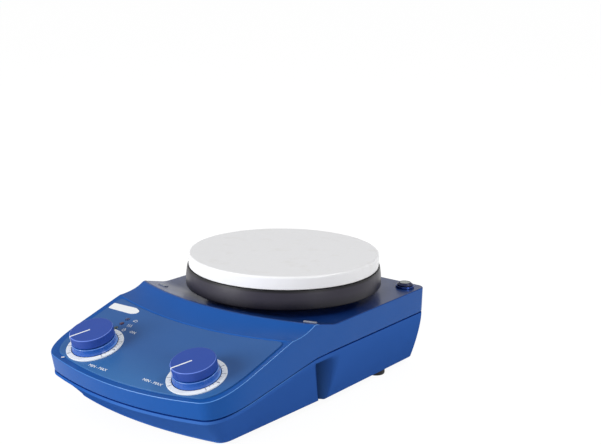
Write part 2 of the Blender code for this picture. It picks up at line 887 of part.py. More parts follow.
def make_plate_stack():
    on_axis = Matrix.Translation(plate_axis)
    low = tray_top + seat_gap
    spigot = tray_radius - tray_lip - tray_wall - seat_gap
    plate = add("top_plate", lathe([
        (0, low - plate_spigot), (spigot, low - plate_spigot), (spigot, low),
        (plate_radius - plate_edge / 2, low), (plate_radius, low + plate_edge / 2),
        (plate_radius, plate_top - plate_edge),
        (plate_radius - plate_edge * plate_edge_share, plate_top - plate_edge * plate_edge_share),
        (plate_radius - plate_edge, plate_top), (0, plate_top)], fine_steps), ceramic_white, on_axis)
    bore = sensor_radius + seat_gap
    inner = tray_radius - tray_lip - tray_wall
    barrel = [(tray_radius - tray_foot, tray_bottom)]
    barrel += bezier((tray_radius, tray_bottom + tray_foot),
                     (tray_radius + tray_bulge, (tray_bottom + tray_top) / 2),
                     (tray_radius - tray_lip, tray_top), curve_steps)
    tray = add("plate_tray", lathe([(bore, tray_bottom)] + barrel + [
        (inner, tray_top), (inner, tray_bottom + tray_floor), (bore, tray_bottom + tray_floor)], fine_steps),
        tray_grey, on_axis)
    pad_low = tray_bottom + tray_floor + seat_gap
    flange = sensor_radius + sensor_flange
    pad = add("insulation_disc", tube(flange + seat_gap, insulation_radius, pad_low,
                                      pad_low + insulation_thickness), fibre_white, on_axis)
    heater = add("heater_element", tube(heater_bore, heater_radius, heater_base, heater_top), mica_tan,
                 on_axis)
    neck = add("plate_neck", tube(neck_bore, neck_radius, deck_height + seat_gap, tray_bottom - seat_gap,
                                  fine_steps), plastic_black, on_axis)
    stud_high = low - plate_spigot + stud_bite
    ways = tool("stack_ways", many(studs_at(), lambda: rod(
        stud_radius + seat_gap, deck_height - overrun, stud_high + seat_gap)))
    cut(plate, ways)
    cut(tray, ways)
    cut(pad, ways)
    cut(heater, ways)
    cut(neck, ways)
    head_top = ceiling - seat_gap
    for number, (x, y) in enumerate(studs_at(), 1):
        head = slab(hexagon(bolt_head_radius), head_top - bolt_head_height, head_top)
        bolt = add(f"plate_bolt_{number}", moved(head, x, y), steel_grey)
        join(bolt, tool(f"bolt_shank_{number}", moved(
            rod(stud_radius, head_top - bolt_head_height / 2, stud_high), x, y)))
    flange_low = tray_bottom + tray_floor + seat_gap
    add("plate_sensor", lathe([
        (0, tray_bottom - sensor_drop), (sensor_radius, tray_bottom - sensor_drop),
        (sensor_radius, flange_low), (flange, flange_low), (flange, flange_low + sensor_flange_height),
        (sensor_radius, flange_low + sensor_flange_height), (sensor_radius, low - plate_spigot - seat_gap),
        (0, low - plate_spigot - seat_gap)]), steel_grey, on_axis)


def make_motor():
    on_axis = Matrix.Translation(plate_axis)
    can_low = motor_base + motor_cap + seat_gap
    neck_top = motor_top + motor_neck_height
    bush_out = bush_radius + seat_gap
    inner = motor_radius - motor_wall
    bush_low = neck_top - bush_height
    add("motor_can", lathe([
        (motor_radius, can_low), (motor_radius, motor_top), (motor_neck_radius, motor_top),
        (motor_neck_radius, neck_top), (bush_out, neck_top), (bush_out, bush_low - seat_gap),
        (motor_neck_radius, bush_low - seat_gap), (motor_neck_radius, motor_top - motor_wall),
        (inner, motor_top - motor_wall), (inner, can_low)]), steel_grey, on_axis)
    shaft_clear = shaft_radius + seat_gap
    add("motor_bush_upper", tube(shaft_clear, bush_radius, bush_low, neck_top), brass_yellow, on_axis)
    boss_top = motor_base + bush_height + seat_gap
    add("motor_end_cap", lathe([
        (bush_out, motor_base), (motor_radius, motor_base), (motor_radius, motor_base + motor_cap),
        (motor_neck_radius, motor_base + motor_cap), (motor_neck_radius, boss_top), (bush_out, boss_top)]),
        plastic_black, on_axis)
    add("motor_bush_lower", tube(shaft_clear, bush_radius, motor_base, motor_base + bush_height),
        brass_yellow, on_axis)
    ring = inner - seat_gap
    add("field_magnets", tube(ring - field_thickness, ring, core_base, core_base + core_height),
        plastic_black, on_axis)
    shaft_top = carrier_base + carrier_thickness - seat_gap
    add("motor_armature", lathe([
        (0, shaft_base), (shaft_radius, shaft_base), (shaft_radius, core_base), (core_radius, core_base),
        (core_radius, core_base + core_height), (shaft_radius, core_base + core_height),
        (shaft_radius, shaft_top), (0, shaft_top)]), copper_red, on_axis)
    make_bracket()
    carrier = add("magnet_carrier", tube(shaft_clear, carrier_radius, carrier_base,
                                         carrier_base + carrier_thickness), steel_grey, on_axis)
    carrier.modifiers.new("soft_edges", "BEVEL").width = seat_gap
    magnet_low = carrier_base + carrier_thickness + seat_gap
    for name, side in (("drive_magnet_north", 1), ("drive_magnet_south", -1)):
        magnet = moved(rod(magnet_radius, magnet_low, magnet_low + magnet_height, round_steps),
                       side * magnet_offset)
        add(name, magnet, plastic_black, on_axis)


def make_bracket():
    """Folded steel strap that hangs the motor over the floor."""
    top, low, thin = bracket_top, bracket_seat, bracket_thickness
    foot = bracket_half + bracket_foot
    right = [(bracket_half, top), (bracket_half, low + thin), (foot, low + thin), (foot, low),
             (bracket_half - thin, low), (bracket_half - thin, top - thin)]
    profile = right + [(-x, z) for x, z in reversed(right)]
    upright = Matrix.Translation(plate_axis) @ Matrix.Rotation(math.pi / 2, 4, "X")
    strap = add("motor_bracket", slab(profile, -bracket_width / 2, bracket_width / 2), steel_grey, upright)
    cut(strap, tool("bracket_ways", gather([
        moved(rod(motor_neck_radius + seat_gap, top - thin - overrun, top + overrun, round_steps),
              y=plate_axis.y),
        many(bracket_posts_at(), lambda: rod(small_screw_radius + seat_gap, low - overrun,
                                             low + thin + overrun))])))
    head = low + thin + seat_gap
    for name, (x, y) in zip(("left_motor_screw", "right_motor_screw"), bracket_posts_at()):
        add(name, moved(small_screw(head), x, y), steel_grey)


def small_screw(head):
    """Pan-head screw with its head resting on the bracket at a height."""
    tip = head - seat_gap - bracket_thickness - small_screw_grip
    return lathe([(0, tip), (small_screw_radius, tip), (small_screw_radius, head), (small_screw_head, head),
                  (small_screw_head, head + small_screw_radius), (0, head + small_screw_radius)], small_steps)


def make_dial(name, side):
    """One dial: scale ring, knob on its spindle, regulator behind the console and its nut."""
    frame = console_frame(side * dial_across, dial_run)
    add(f"{name}_dial_ring", tube(dial_ring_bore, dial_ring_radius, seat_gap, seat_gap + dial_ring_thickness,
                                  knob_steps), ring_white, frame)
    add(f"{name}_knob", lathe([
        (knob_recess_radius, knob_lift), (knob_collar_radius, knob_lift),
        (knob_collar_radius, knob_collar_top),
        (knob_groove_radius, knob_collar_top), (knob_groove_radius, knob_cap_base),
        (knob_radius, knob_cap_base), (knob_radius, knob_height - knob_edge),
        (knob_radius - knob_edge, knob_height), (0, knob_height), (0, knob_bore_top),
        (spindle_radius + seat_gap, knob_bore_top), (spindle_radius + seat_gap, knob_recess_top),
        (knob_recess_radius, knob_recess_top)], knob_steps), knob_blue, frame)
    add(f"{name}_shaft", rod(spindle_radius, -spindle_tail, spindle_tip, round_steps), steel_grey, frame)
    top = -console_skin - seat_gap
    bore = spindle_radius + seat_gap
    add(f"{name}_regulator", lathe([
        (0, top - regulator_height), (regulator_radius, top - regulator_height), (regulator_radius, top),
        (bush_thread_radius, top), (bush_thread_radius, bush_thread_top), (bore, bush_thread_top),
        (bore, -spindle_tail - seat_gap), (0, -spindle_tail - seat_gap)]), steel_grey, frame)
    nut = add(f"{name}_nut", slab(hexagon(dial_nut_radius), seat_gap, seat_gap + dial_nut_height), steel_grey,
              frame)
    cut(nut, tool(f"{name}_nut_way", rod(bush_thread_radius + seat_gap, -overrun, dial_nut_height + overrun),
                  frame))


def make_lamps():
    lens_base = -console_skin - seat_gap
    flange = lamp_radius + lamp_flange
    dome = bezier((lamp_radius, 0), (lamp_radius, lamp_dome), (0, lamp_dome), edge_steps)
    profile = [(0, lens_base - lamp_tail), (flange, lens_base - lamp_tail), (flange, lens_base),
               (lamp_radius, lens_base)] + dome
    lamps = (("stir_lamp", -1, lamp_green), ("power_lamp", 0, lamp_red), ("heat_lamp", 1, lamp_blue))
    for name, step, look in lamps:
        frame = console_frame(-lamp_across, lamp_run + step * lamp_pitch)
        add(name, lathe(profile, small_steps), look, frame)


def make_board():
    low, high = board_height, board_height + board_thickness
    near, far = front_y + board_run, front_y + board_run + board_length
    board = add("control_board", block((-board_half, near, low), (board_half, far, high)), board_green)
    cut(board, tool("board_ways", many(board_posts_at(), lambda: rod(
        board_peg_radius + seat_gap, low - overrun, high + overrun))))
    join(board, tool("board_components", gather(board_components(high - board_thickness / 2))))
    base = high + seat_gap
    width, length, height = sink_size
    x, y = sink_inset[0] - board_half, far - sink_inset[1]
    sink = add("board_heatsink", block((x - width / 2, y - length / 2, base),
                                       (x + width / 2, y + length / 2, base + height)), steel_grey)
    pitch = (width - sink_fin_gap) / (sink_fins - 1)
    channels = [block((x - width / 2 + k * pitch + sink_fin_gap, y - length, base + sink_fin_gap),
                      (x - width / 2 + (k + 1) * pitch, y + length, base + height + overrun))
                for k in range(sink_fins - 1)]
    cut(sink, tool("sink_channels", gather(channels)))


def board_components(base):
    """Capacitors and wire terminals that are soldered to the board."""
    parts = []
    for k in range(capacitor_count):
        capacitor = rod(capacitor_radius, base, base + capacitor_height)
        parts.append(moved(capacitor, capacitor_place[0] + k * capacitor_pitch, front_y + capacitor_place[1]))
    width, length, height = terminal_size
    for k in range(terminal_count):
        terminal = block((-width / 2, -length / 2, base), (width / 2, length / 2, base + height))
        parts.append(moved(terminal, terminal_place[0] + k * terminal_pitch, front_y + terminal_place[1]))
    return parts


def facing_back(across, level):
    """Frame on the outside of the rear wall: X across, Y up, Z outwards."""
    return Matrix.Translation((across, rear_face, level)) @ Matrix.Rotation(-math.pi / 2, 4, "X") \
        @ Matrix.Rotation(math.pi, 4, "Z")


def make_inlet():
    frame = facing_back(inlet_across, inlet_level)
    body = add("power_inlet", slab(rectangle(*inlet_flange_half), 0, flange_thickness), plastic_black, frame)
    join(body, tool("inlet_block", slab(rectangle(*inlet_body_half), -inlet_body_depth, flange_thickness / 2),
                    frame))
    half_x, half_y = socket_half
    low, shoulder, high = socket_lift - half_y, socket_lift + half_y - socket_chamfer, socket_lift + half_y
    mouth = [(-half_x, low), (half_x, low), (half_x, shoulder), (half_x - socket_chamfer, high),
             (-half_x + socket_chamfer, high), (-half_x, shoulder)]
    pin_floor = flange_thickness - socket_depth
    outside = flange_thickness + overrun
    cut(body, tool("inlet_mouth", slab(mouth, pin_floor, outside), frame))
    drawer_floor = flange_thickness - drawer_depth
    slot = slab(rectangle(*[size + drawer_play for size in drawer_half]), drawer_floor - seat_gap, outside)
    cut(body, tool("drawer_way", moved(slot, y=-drawer_drop), frame))
    places = [(-pin_spread, socket_lift), (pin_spread, socket_lift), (0, socket_lift + pin_stagger)]
    clear = [size + seat_gap for size in pin_half]
    cut(body, tool("pin_ways", many(places, lambda: slab(
        rectangle(*clear), -inlet_body_depth - overrun, pin_floor + overrun)), frame))
    for name, (x, y) in zip(("line_pin", "neutral_pin", "earth_pin"), places):
        blade = slab(rectangle(*pin_half), -inlet_body_depth - pin_tail, pin_floor + pin_length)
        add(name, moved(blade, x, y), brass_yellow, frame)
    tray = moved(slab(rectangle(*drawer_half), drawer_floor, flange_thickness + drawer_grip), y=-drawer_drop)
    drawer = add("fuse_drawer", tray, plastic_black, frame)
    fuse_z = drawer_floor + fuse_inset
    trough = fuse_radius + seat_gap
    half = fuse_length / 2
    floor = -drawer_drop - drawer_half[1] + drawer_skin
    cut(drawer, tool("fuse_trough", block(
        (-half - seat_gap, floor, fuse_z - trough),
        (half + seat_gap, -drawer_drop + drawer_half[1] + overrun, fuse_z + trough)), frame))
    place = Matrix.Translation((0, floor + seat_gap + fuse_radius, fuse_z))
    lying = place @ Matrix.Rotation(math.pi / 2, 4, "Y")
    add("fuse", rod(fuse_radius, -half, half), glass_clear, frame @ lying)


def make_switch():
    frame = facing_back(switch_across, inlet_level)
    flange = slab(rectangle(*switch_flange_half), 0, flange_thickness)
    body = add("switch_frame", flange, plastic_black, frame)
    block_behind = slab(rectangle(*switch_body_half), -switch_body_depth, flange_thickness / 2)
    join(body, tool("switch_block", block_behind, frame))
    cut(body, tool("switch_cavity", slab(rectangle(*switch_cavity_half), -switch_cavity_depth,
                                         flange_thickness + overrun), frame))
    pivot = Matrix.Translation((switch_across, rear_y - rocker_pivot_depth, inlet_level))
    axle = Matrix.Rotation(math.pi / 2, 4, "Y")
    hole = trunnion_radius + seat_gap
    reach = rocker_half + trunnion_reach
    cut(body, tool("trunnion_way", rod(hole, -reach - seat_gap, reach + seat_gap), pivot @ axle))
    up = arc((0, 0), rocker_radius, -rocker_low, rocker_raised, rocker_steps)
    down = arc((0, 0), rocker_radius, math.pi - rocker_pressed, math.pi + rocker_low, rocker_steps)
    profile = [(out, height) for height, out in up + [(0, rocker_waist)] + down]
    rocker = add("switch_rocker", loft([[Vector((x, out, height)) for out, height in profile]
                                        for x in (-rocker_half, rocker_half)]), rubber_black, pivot)
    join(rocker, tool("trunnions", rod(trunnion_radius, -reach, reach), pivot @ axle))


def make_rod_socket():
    place = Matrix.Translation((rod_across, rear_y - rod_inset, deck_height + seat_gap))
    low = -rod_sleeve_length
    add("rod_socket", lathe([
        (0, low), (rod_sleeve_radius, low), (rod_sleeve_radius, 0), (rod_boss_radius, 0),
        (rod_boss_radius, rod_boss_height), (rod_bore_radius, rod_boss_height),
        (rod_bore_radius, rod_boss_height - rod_bore_depth), (0, rod_boss_height - rod_bore_depth)]),
        steel_grey, place)
    top = -wall - 2 * seat_gap
    nut = add("socket_nut", slab(hexagon(rod_nut_radius), top - rod_nut_height, top), steel_grey, place)
    nut_way = rod(rod_sleeve_radius + seat_gap, top - rod_nut_height - overrun, top + overrun, round_steps)
    cut(nut, tool("socket_nut_way", nut_way, place))
    base = rod_boss_height + seat_gap
    dome = bezier((plug_cap_radius, base + plug_rim_height), (plug_cap_radius, base + plug_cap_height),
                  (0, base + plug_cap_height), curve_steps)
    add("socket_plug", lathe([
        (0, base - plug_stem_length), (plug_stem_radius, base - plug_stem_length), (plug_stem_radius, base),
        (plug_cap_radius, base)] + dome), knob_blue, place)


def main():
    clear_scene()
    make_lower_housing()
    make_upper_housing()
    make_panel_film()
    make_feet()
    make_housing_screws()
    make_plate_stack()
    make_motor()
    make_dial("heat", -1)
    make_dial("speed", 1)
    make_lamps()
    make_board()
    make_inlet()
    make_switch()
    make_rod_socket()


main()
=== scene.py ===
import math
from collections import namedtuple

import bmesh
import bpy
from bpy.props import FloatProperty, FloatVectorProperty, IntProperty, PointerProperty
from mathutils import Matrix, Vector


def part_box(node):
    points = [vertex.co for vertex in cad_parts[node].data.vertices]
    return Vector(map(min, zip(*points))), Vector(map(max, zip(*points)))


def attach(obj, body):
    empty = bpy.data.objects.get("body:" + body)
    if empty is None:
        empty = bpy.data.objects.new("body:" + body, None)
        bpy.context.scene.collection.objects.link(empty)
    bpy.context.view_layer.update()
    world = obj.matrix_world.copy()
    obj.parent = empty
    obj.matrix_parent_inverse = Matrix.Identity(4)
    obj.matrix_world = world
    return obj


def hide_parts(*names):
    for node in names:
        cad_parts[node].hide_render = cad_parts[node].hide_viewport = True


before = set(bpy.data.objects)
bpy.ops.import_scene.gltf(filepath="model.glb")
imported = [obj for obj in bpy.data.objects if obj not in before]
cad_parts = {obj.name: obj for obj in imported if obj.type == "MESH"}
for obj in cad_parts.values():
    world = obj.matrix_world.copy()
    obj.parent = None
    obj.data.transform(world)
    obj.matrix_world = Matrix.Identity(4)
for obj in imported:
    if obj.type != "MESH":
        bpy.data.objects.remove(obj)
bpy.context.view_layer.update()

bl_info = {
    "name": "Hotplate Stirrer",
    "version": (1, 0, 0),
    "blender": (4, 5, 0),
    "location": "3D View > Sidebar > Hotplate Stirrer",
    "description": "Dresses the solid model of a laboratory hotplate stirrer",
    "category": "Object",
}

mm = 0.001
degree = math.pi / 180

# Fits shared by the pieces
seat_gap = 0.3 * mm
overrun = 2 * mm
weld = 0.001 * mm
ink_height = 0.04 * mm
ink_sink = 0.02 * mm

# Body outline, as in the solid model; a run is a distance back from the foremost point
body_width = 150 * mm
body_depth = 232 * mm
deck_height = 58 * mm
table_gap = 4.5 * mm
wall = 2.5 * mm
nose_radius = 240 * mm
corner_across = 13 * mm
corner_along = 30 * mm
rear_corner = 6 * mm
nose_steps = 12
corner_steps = 14
rear_steps = 8
console_side_runs = (50 * mm, 58 * mm, 66 * mm, 73 * mm)
deck_side_runs = (138 * mm, 150 * mm, 165 * mm, 180 * mm, 195 * mm, 210 * mm, 220 * mm)
lower_side_runs = (52 * mm, 60 * mm, 70 * mm, 80 * mm, 90 * mm, 96 * mm)
flank_shares = (0.04, 0.08, 0.14, 0.2, 0.32, 0.45, 0.58, 0.7, 0.85)

# Shut line between the two shells
seam_height = 40.4 * mm
seam_fall = 8.5 * degree
seam_bend_run = 106 * mm
seam_bend = 8 * mm
seam_setback = 2.2 * mm
seam_draw = 0.5 * mm
seam_gap = 0.5 * mm
seam_upper_edge = 0.3 * mm
seam_lower_edge = 0.7 * mm

# Console, cove, ridge and ramp
crest_height = 35.4 * mm
console_tilt = 16.33 * degree
crest_edge = 0.7 * mm
cove_run = 69 * mm
cove_sweep = 9.8 * mm
cove_bend_run = 77.2 * mm
cove_bend_sweep = 15.8 * mm
ridge_run = 87.5 * mm
ridge_sweep = 15 * mm
ridge_rise = 5.1 * mm
ridge_round = 2.2 * mm
ridge_drop = 0.5 * mm
ramp_run = 111 * mm
ramp_sweep = 12 * mm
ramp_round = 4 * mm
cove_steps = 18
ridge_steps = 8
ramp_steps = 8
columns = 28
halvings = 40
lean_reach = 27.6 * mm

# Rim round the console, and the film in it
rim_edge = 0.8 * mm
rim_width = 4.5 * mm
rim_depth = 0.9 * mm
film_margin = 0.4 * mm
film_drop = 0.1 * mm
film_edge = 0.15 * mm
film_corner = 5 * mm
film_sink = 0.05 * mm
# Runs from the front over which a painted reflection pales the film
film_sheen_runs = (6 * mm, 36 * mm)
film_back_shares = (0.9, 0.8, 0.7, 0.6, 0.5, 0.4, 0.3, 0.2, 0.1)

# Lower shell
lip_height = 2.5 * mm
base_setback = 21.5 * mm
base_fore_inset = 12.5 * mm
base_flare = 3 * mm
base_flank_inset = 8 * mm
base_corner_across = 5 * mm
base_corner_along = 9 * mm
base_edge = 1.3 * mm
flank_curve_share = 1.5
lower_shares = (1, 0.86, 0.72, 0.58, 0.44, 0.3, 0.18, 0.08, 0)
scoop_run = 103 * mm
scoop_foot_run = 119 * mm
scoop_depth = 12 * mm
scoop_length = 27 * mm
scoop_foot_length = 8 * mm
scoop_roof = 3.6 * mm
scoop_shares = (-0.15, 0, 0.2, 0.4, 0.6, 0.8, 1, 1.15)
scoop_steps = 16
step_length = 0.2 * mm

# Posts and screws
post_radius = 5 * mm
post_joint_height = 24 * mm
front_post = (18 * mm, 30 * mm)
rear_post = (57 * mm, 168 * mm)
screw_radius = 1.5 * mm
screw_head_radius = 2.8 * mm
screw_head_height = 2 * mm
screw_sink = 9 * mm
screw_grip = 7 * mm
screw_head_edge = 0.6 * mm
screw_point = 1 * mm
cross_half = (1.5 * mm, 0.3 * mm)
cross_depth = 1.1 * mm
corner_names = ("front_left", "front_right", "rear_left", "rear_right")
bracket_seat = 10 * mm
bracket_post_radius = 4 * mm
bracket_post_across = 41 * mm
bracket_pilot_radius = 1.5 * mm
board_post_radius = 3 * mm
board_peg_radius = 1.2 * mm
board_peg_reach = 1 * mm
board_inset = 5 * mm

# Feet
foot_radius = 6.5 * mm
foot_peg_radius = 3 * mm
foot_peg_reach = 1.5 * mm
foot_places = ((46.5 * mm, 58 * mm), (58.5 * mm, 195 * mm))
foot_edge = 1.1 * mm
foot_top_edge = 0.4 * mm
foot_dish_radius = 2.2 * mm
foot_dish_rim = 3 * mm
foot_dish_depth = 0.5 * mm
foot_dish_edge = 0.3 * mm

# Vents
vent_width = 3 * mm
vent_length = 34 * mm
vent_pitch = 7 * mm
vent_count = 6
floor_vent_run = 120 * mm
floor_vent_across = 20.4 * mm
rear_vent_height = 15 * mm
rear_vent_across = 39 * mm
rear_vent_pitch = 5.6 * mm
rear_vent_level = 24 * mm

# Hot plate stack
plate_radius = 66 * mm
plate_edge = 1.6 * mm
plate_spigot = 4 * mm
tray_radius = 67.9 * mm
tray_wall = 3 * mm
tray_floor = 2 * mm
tray_lip = 1.05 * mm
tray_foot = 0.8 * mm
tray_bulge = 0.25 * mm
tray_rim = 0.5 * mm
neck_radius = 52 * mm
neck_bore = 42 * mm
neck_edge = 0.5 * mm
deck_bore = 40 * mm
stud_circle = 47 * mm
stud_radius = 2 * mm
sensor_radius = 3 * mm
pad_places = (("left_ramp_pad", -62.5 * mm), ("right_ramp_pad", 65.3 * mm))
pad_run = 108.5 * mm
pad_half = (4.2 * mm, 1.8 * mm)
pad_height = 0.7 * mm
pad_sink = 0.3 * mm
pad_corner = 0.8 * mm
pad_edge = 0.2 * mm

# Dials
dial_across = 43.5 * mm
dial_run = 27.2 * mm
ring_radius = 18.5 * mm
ring_bore = 15.2 * mm
ring_thickness = 0.7 * mm
knob_radius = 13.9 * mm
knob_height = 11.9 * mm
knob_edge = 0.9 * mm
knob_cap_base = 6 * mm
knob_groove_radius = 12.4 * mm
knob_collar_radius = 14.2 * mm
knob_skirt_radius = 14.9 * mm
knob_skirt_height = 1.6 * mm
knob_collar_top = 5.2 * mm
knob_lift = 0.9 * mm
knob_recess_radius = 8.2 * mm
knob_recess_top = 3.6 * mm
knob_bore_top = 8.6 * mm
knob_joint = 0.03 * mm
knob_foot_edge = 0.4 * mm
knob_skirt_edge = 0.3 * mm
knob_skirt_sweep = 1.2 * mm
knob_collar_edge = 0.7 * mm
spindle_radius = 2.5 * mm
thread_radius = 3.8 * mm
pointer_turn = 240 * degree
pointer_start = 0.5 * mm
pointer_lift = 0.05 * mm
dial_sweep = 270 * degree
tick_count = 28
tick_inset = 0.3 * mm
tick_width = 0.3 * mm
long_tick = 0.9 * mm
short_tick = 0.55 * mm
ticks_to_a_long_one = 3
numeral_inset = 1.2 * mm
ring_edge = 0.2 * mm

# Lamps
lamp_across = 45.7 * mm
lamp_run = 52.6 * mm
lamp_pitch = 5.2 * mm
lamp_radius = 1.4 * mm
lamp_dome = 0.5 * mm
lamp_flange = 0.9 * mm
lamp_tail = 2 * mm

# Printed marks on the film, as (across, run) places
name_plate = ((-69.6 * mm, 63.2 * mm), (-48.5 * mm, 63.4 * mm), (-44.6 * mm, 65.4 * mm),
              (-44.8 * mm, 68 * mm), (-49.4 * mm, 70 * mm), (-69.9 * mm, 69.3 * mm))
name_plate_height = 0.25 * mm
name_plate_corner = 1.2 * mm
name_plate_edge = 0.06 * mm
mark_across = 38.5 * mm
legend_height = 2.3 * mm
legends = ((-22.7 * mm, 9.9 * mm, "MIN - MAX"), (21.5 * mm, 12.4 * mm, "MIN - MAX"),
           (-30.5 * mm, 47.4 * mm, "ON"))
stop_mark = (-53.6 * mm, 9.2 * mm)
stop_mark_half = (0.7 * mm, 0.4 * mm)
stop_mark_width = 0.9 * mm
stroke = 0.35 * mm
power_mark_radius = 1.2 * mm
power_mark_stem = 1.7 * mm
wave_pitch = 1.4 * mm
wave_height = 2.6 * mm
wave_swing = 0.35 * mm
wave_steps = 12
stir_mark_radius = 1.3 * mm
stir_mark_barbs = ((-0.8 * mm, 0.7 * mm), (0.9 * mm, 0.5 * mm))

# Mains inlet and fuse drawer
inlet_across = -40 * mm
inlet_level = 22.5 * mm
flange_thickness = 1.6 * mm
inlet_flange_half = (17 * mm, 15.8 * mm)
inlet_body_half = (13.8 * mm, 14.3 * mm)
inlet_body_depth = 23 * mm
socket_half = (12.1 * mm, 8.1 * mm)
socket_lift = 4.6 * mm
socket_depth = 15 * mm
socket_chamfer = 4 * mm
pin_half = (1 * mm, 2 * mm)
pin_spread = 7 * mm
pin_stagger = 4 * mm
drawer_half = (10.2 * mm, 3 * mm)
drawer_drop = 9.9 * mm
drawer_depth = 19 * mm
drawer_play = 0.3 * mm
drawer_grip = 1.2 * mm
fuse_radius = 2.3 * mm
fuse_length = 17 * mm
fuse_inset = 5 * mm
drawer_skin = 0.6 * mm
drawer_edge = 0.3 * mm
notch_half = (3.2 * mm, 0.9 * mm)
notch_corner = 0.4 * mm
notch_depth = 0.6 * mm
notch_rise = 0.8 * mm
inlet_flange_corner = 2 * mm
flange_edge = 0.4 * mm
mouth_corner = 0.8 * mm

# Rocker switch
switch_across = 3.45 * mm
switch_flange_half = (7.5 * mm, 11 * mm)
switch_body_half = (6.4 * mm, 9.6 * mm)
switch_body_depth = 14 * mm
switch_cavity_half = (5.1 * mm, 8.5 * mm)
switch_cavity_depth = 8 * mm
rocker_half = 4.7 * mm
rocker_radius = 8 * mm
rocker_pivot_depth = 0.9 * mm
rocker_raised = 34 * degree
rocker_pressed = 18 * degree
rocker_low = 25 * degree
rocker_waist = 2.2 * mm
trunnion_radius = 1.2 * mm
trunnion_reach = 0.7 * mm
switch_flange_corner = 1.2 * mm
switch_cavity_corner = 0.5 * mm
rocker_dip = 0.6 * mm
rocker_edge = 0.3 * mm
on_mark_half = 0.9 * mm
off_mark_radius = 0.8 * mm
switch_mark_stroke = 0.3 * mm

# Support rod socket
rod_inset = 11 * mm
rod_boss_radius = 6.6 * mm
rod_boss_height = 1.2 * mm
rod_sleeve_radius = 5.4 * mm
rod_sleeve_length = 20 * mm
rod_bore_radius = 4.2 * mm
rod_bore_depth = 17 * mm
plug_stem_radius = 3.8 * mm
plug_stem_length = 1.6 * mm
plug_cap_radius = 5.6 * mm
plug_cap_height = 1.8 * mm
plug_rim_height = 0.6 * mm
plug_disc_radius = 3.6 * mm
plug_disc_sink = 0.5 * mm
plug_lip = 0.4 * mm
plug_lip_edge = 0.3 * mm
rod_boss_edge = 0.5 * mm
rod_bore_edge = 0.2 * mm
disc_low_gap = 0.03 * mm
disc_high_gap = 0.1 * mm
disc_play = 0.05 * mm
disc_edge = 0.15 * mm

# Rating plate, left bare, on the back of the upper shell
rating_half = (22 * mm, 5.5 * mm)
rating_place = (0, 49.5 * mm)
rating_thickness = 0.25 * mm
rating_corner = 1.5 * mm
rating_edge = 0.08 * mm

# Floor, lamps and camera, in metres and radians, with the lens and its sensor in millimetres
floor_rings = (1, 3, 5, 8, 9, 10, 11, 12, 13, 14)
bowl_start = 8
bowl_spread = 12
floor_glow = 1.15
floor_glow_share = 0.82
light_places = {"key": ((0.85, 0.66, 1.56), 0.35), "fill": ((-0.8, -1.55, 0.5), 0.9),
                "side": ((1.7, -0.4, 0.6), 0.6)}
light_target = (0, 0, 0.04)
camera_sensor = 36
camera_lens = 68.21
camera_shift = 0.0138
camera_reach = (0.01, 50)
camera_turns = (0.6522, 0.2411, 0.0136)
camera_place = (0.473085, -0.554578, 0.28769)

# Places worked out from the sizes above and from the solid model
front_y = -117.787 * mm
rear_y = front_y + body_depth
crest_nose = front_y + 46 * mm
crest_end = front_y + 104 * mm
side_half = body_width / 2
console_slope = math.tan(console_tilt)
seam_slope = math.tan(seam_fall)
console_skin = (wall - film_drop) * math.cos(console_tilt)
ceiling = deck_height - wall
ridge_height = deck_height + ridge_rise
floor_top = table_gap + wall
base_fore_half = side_half - base_fore_inset
base_flank_half = side_half - base_flank_inset
plate_low, plate_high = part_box("top_plate")
tray_low, tray_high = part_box("plate_tray")
plate_axis = (plate_low + plate_high) / 2
plate_axis.z = 0
board_low, board_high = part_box("control_board")
board_height = 12 * mm
board_thickness = 1.6 * mm
rod_across = side_half - rod_inset
rear_face = rear_y + seat_gap

Level = namedtuple("Level", "front fore flare flank back across along step")


def screen(red, green, blue):
    """Linear colour of an 8-bit screen colour."""
    values = [value / 255 for value in (red, green, blue)]
    return tuple(((value + 0.055) / 1.055) ** 2.4 if value > 0.04 else value / 12.92 for value in values)


class Wire:
    """A socket in a material that takes Python arithmetic."""

    def __init__(self, paint, socket):
        self.paint = paint
        self.socket = socket

    def __add__(self, other):
        return self.paint.maths("ADD", self, other)

    __radd__ = __add__

    def __sub__(self, other):
        return self.paint.maths("SUBTRACT", self, other)

    def __rsub__(self, other):
        return self.paint.maths("SUBTRACT", other, self)

    def __mul__(self, other):
        return self.paint.maths("MULTIPLY", self, other)

    __rmul__ = __mul__


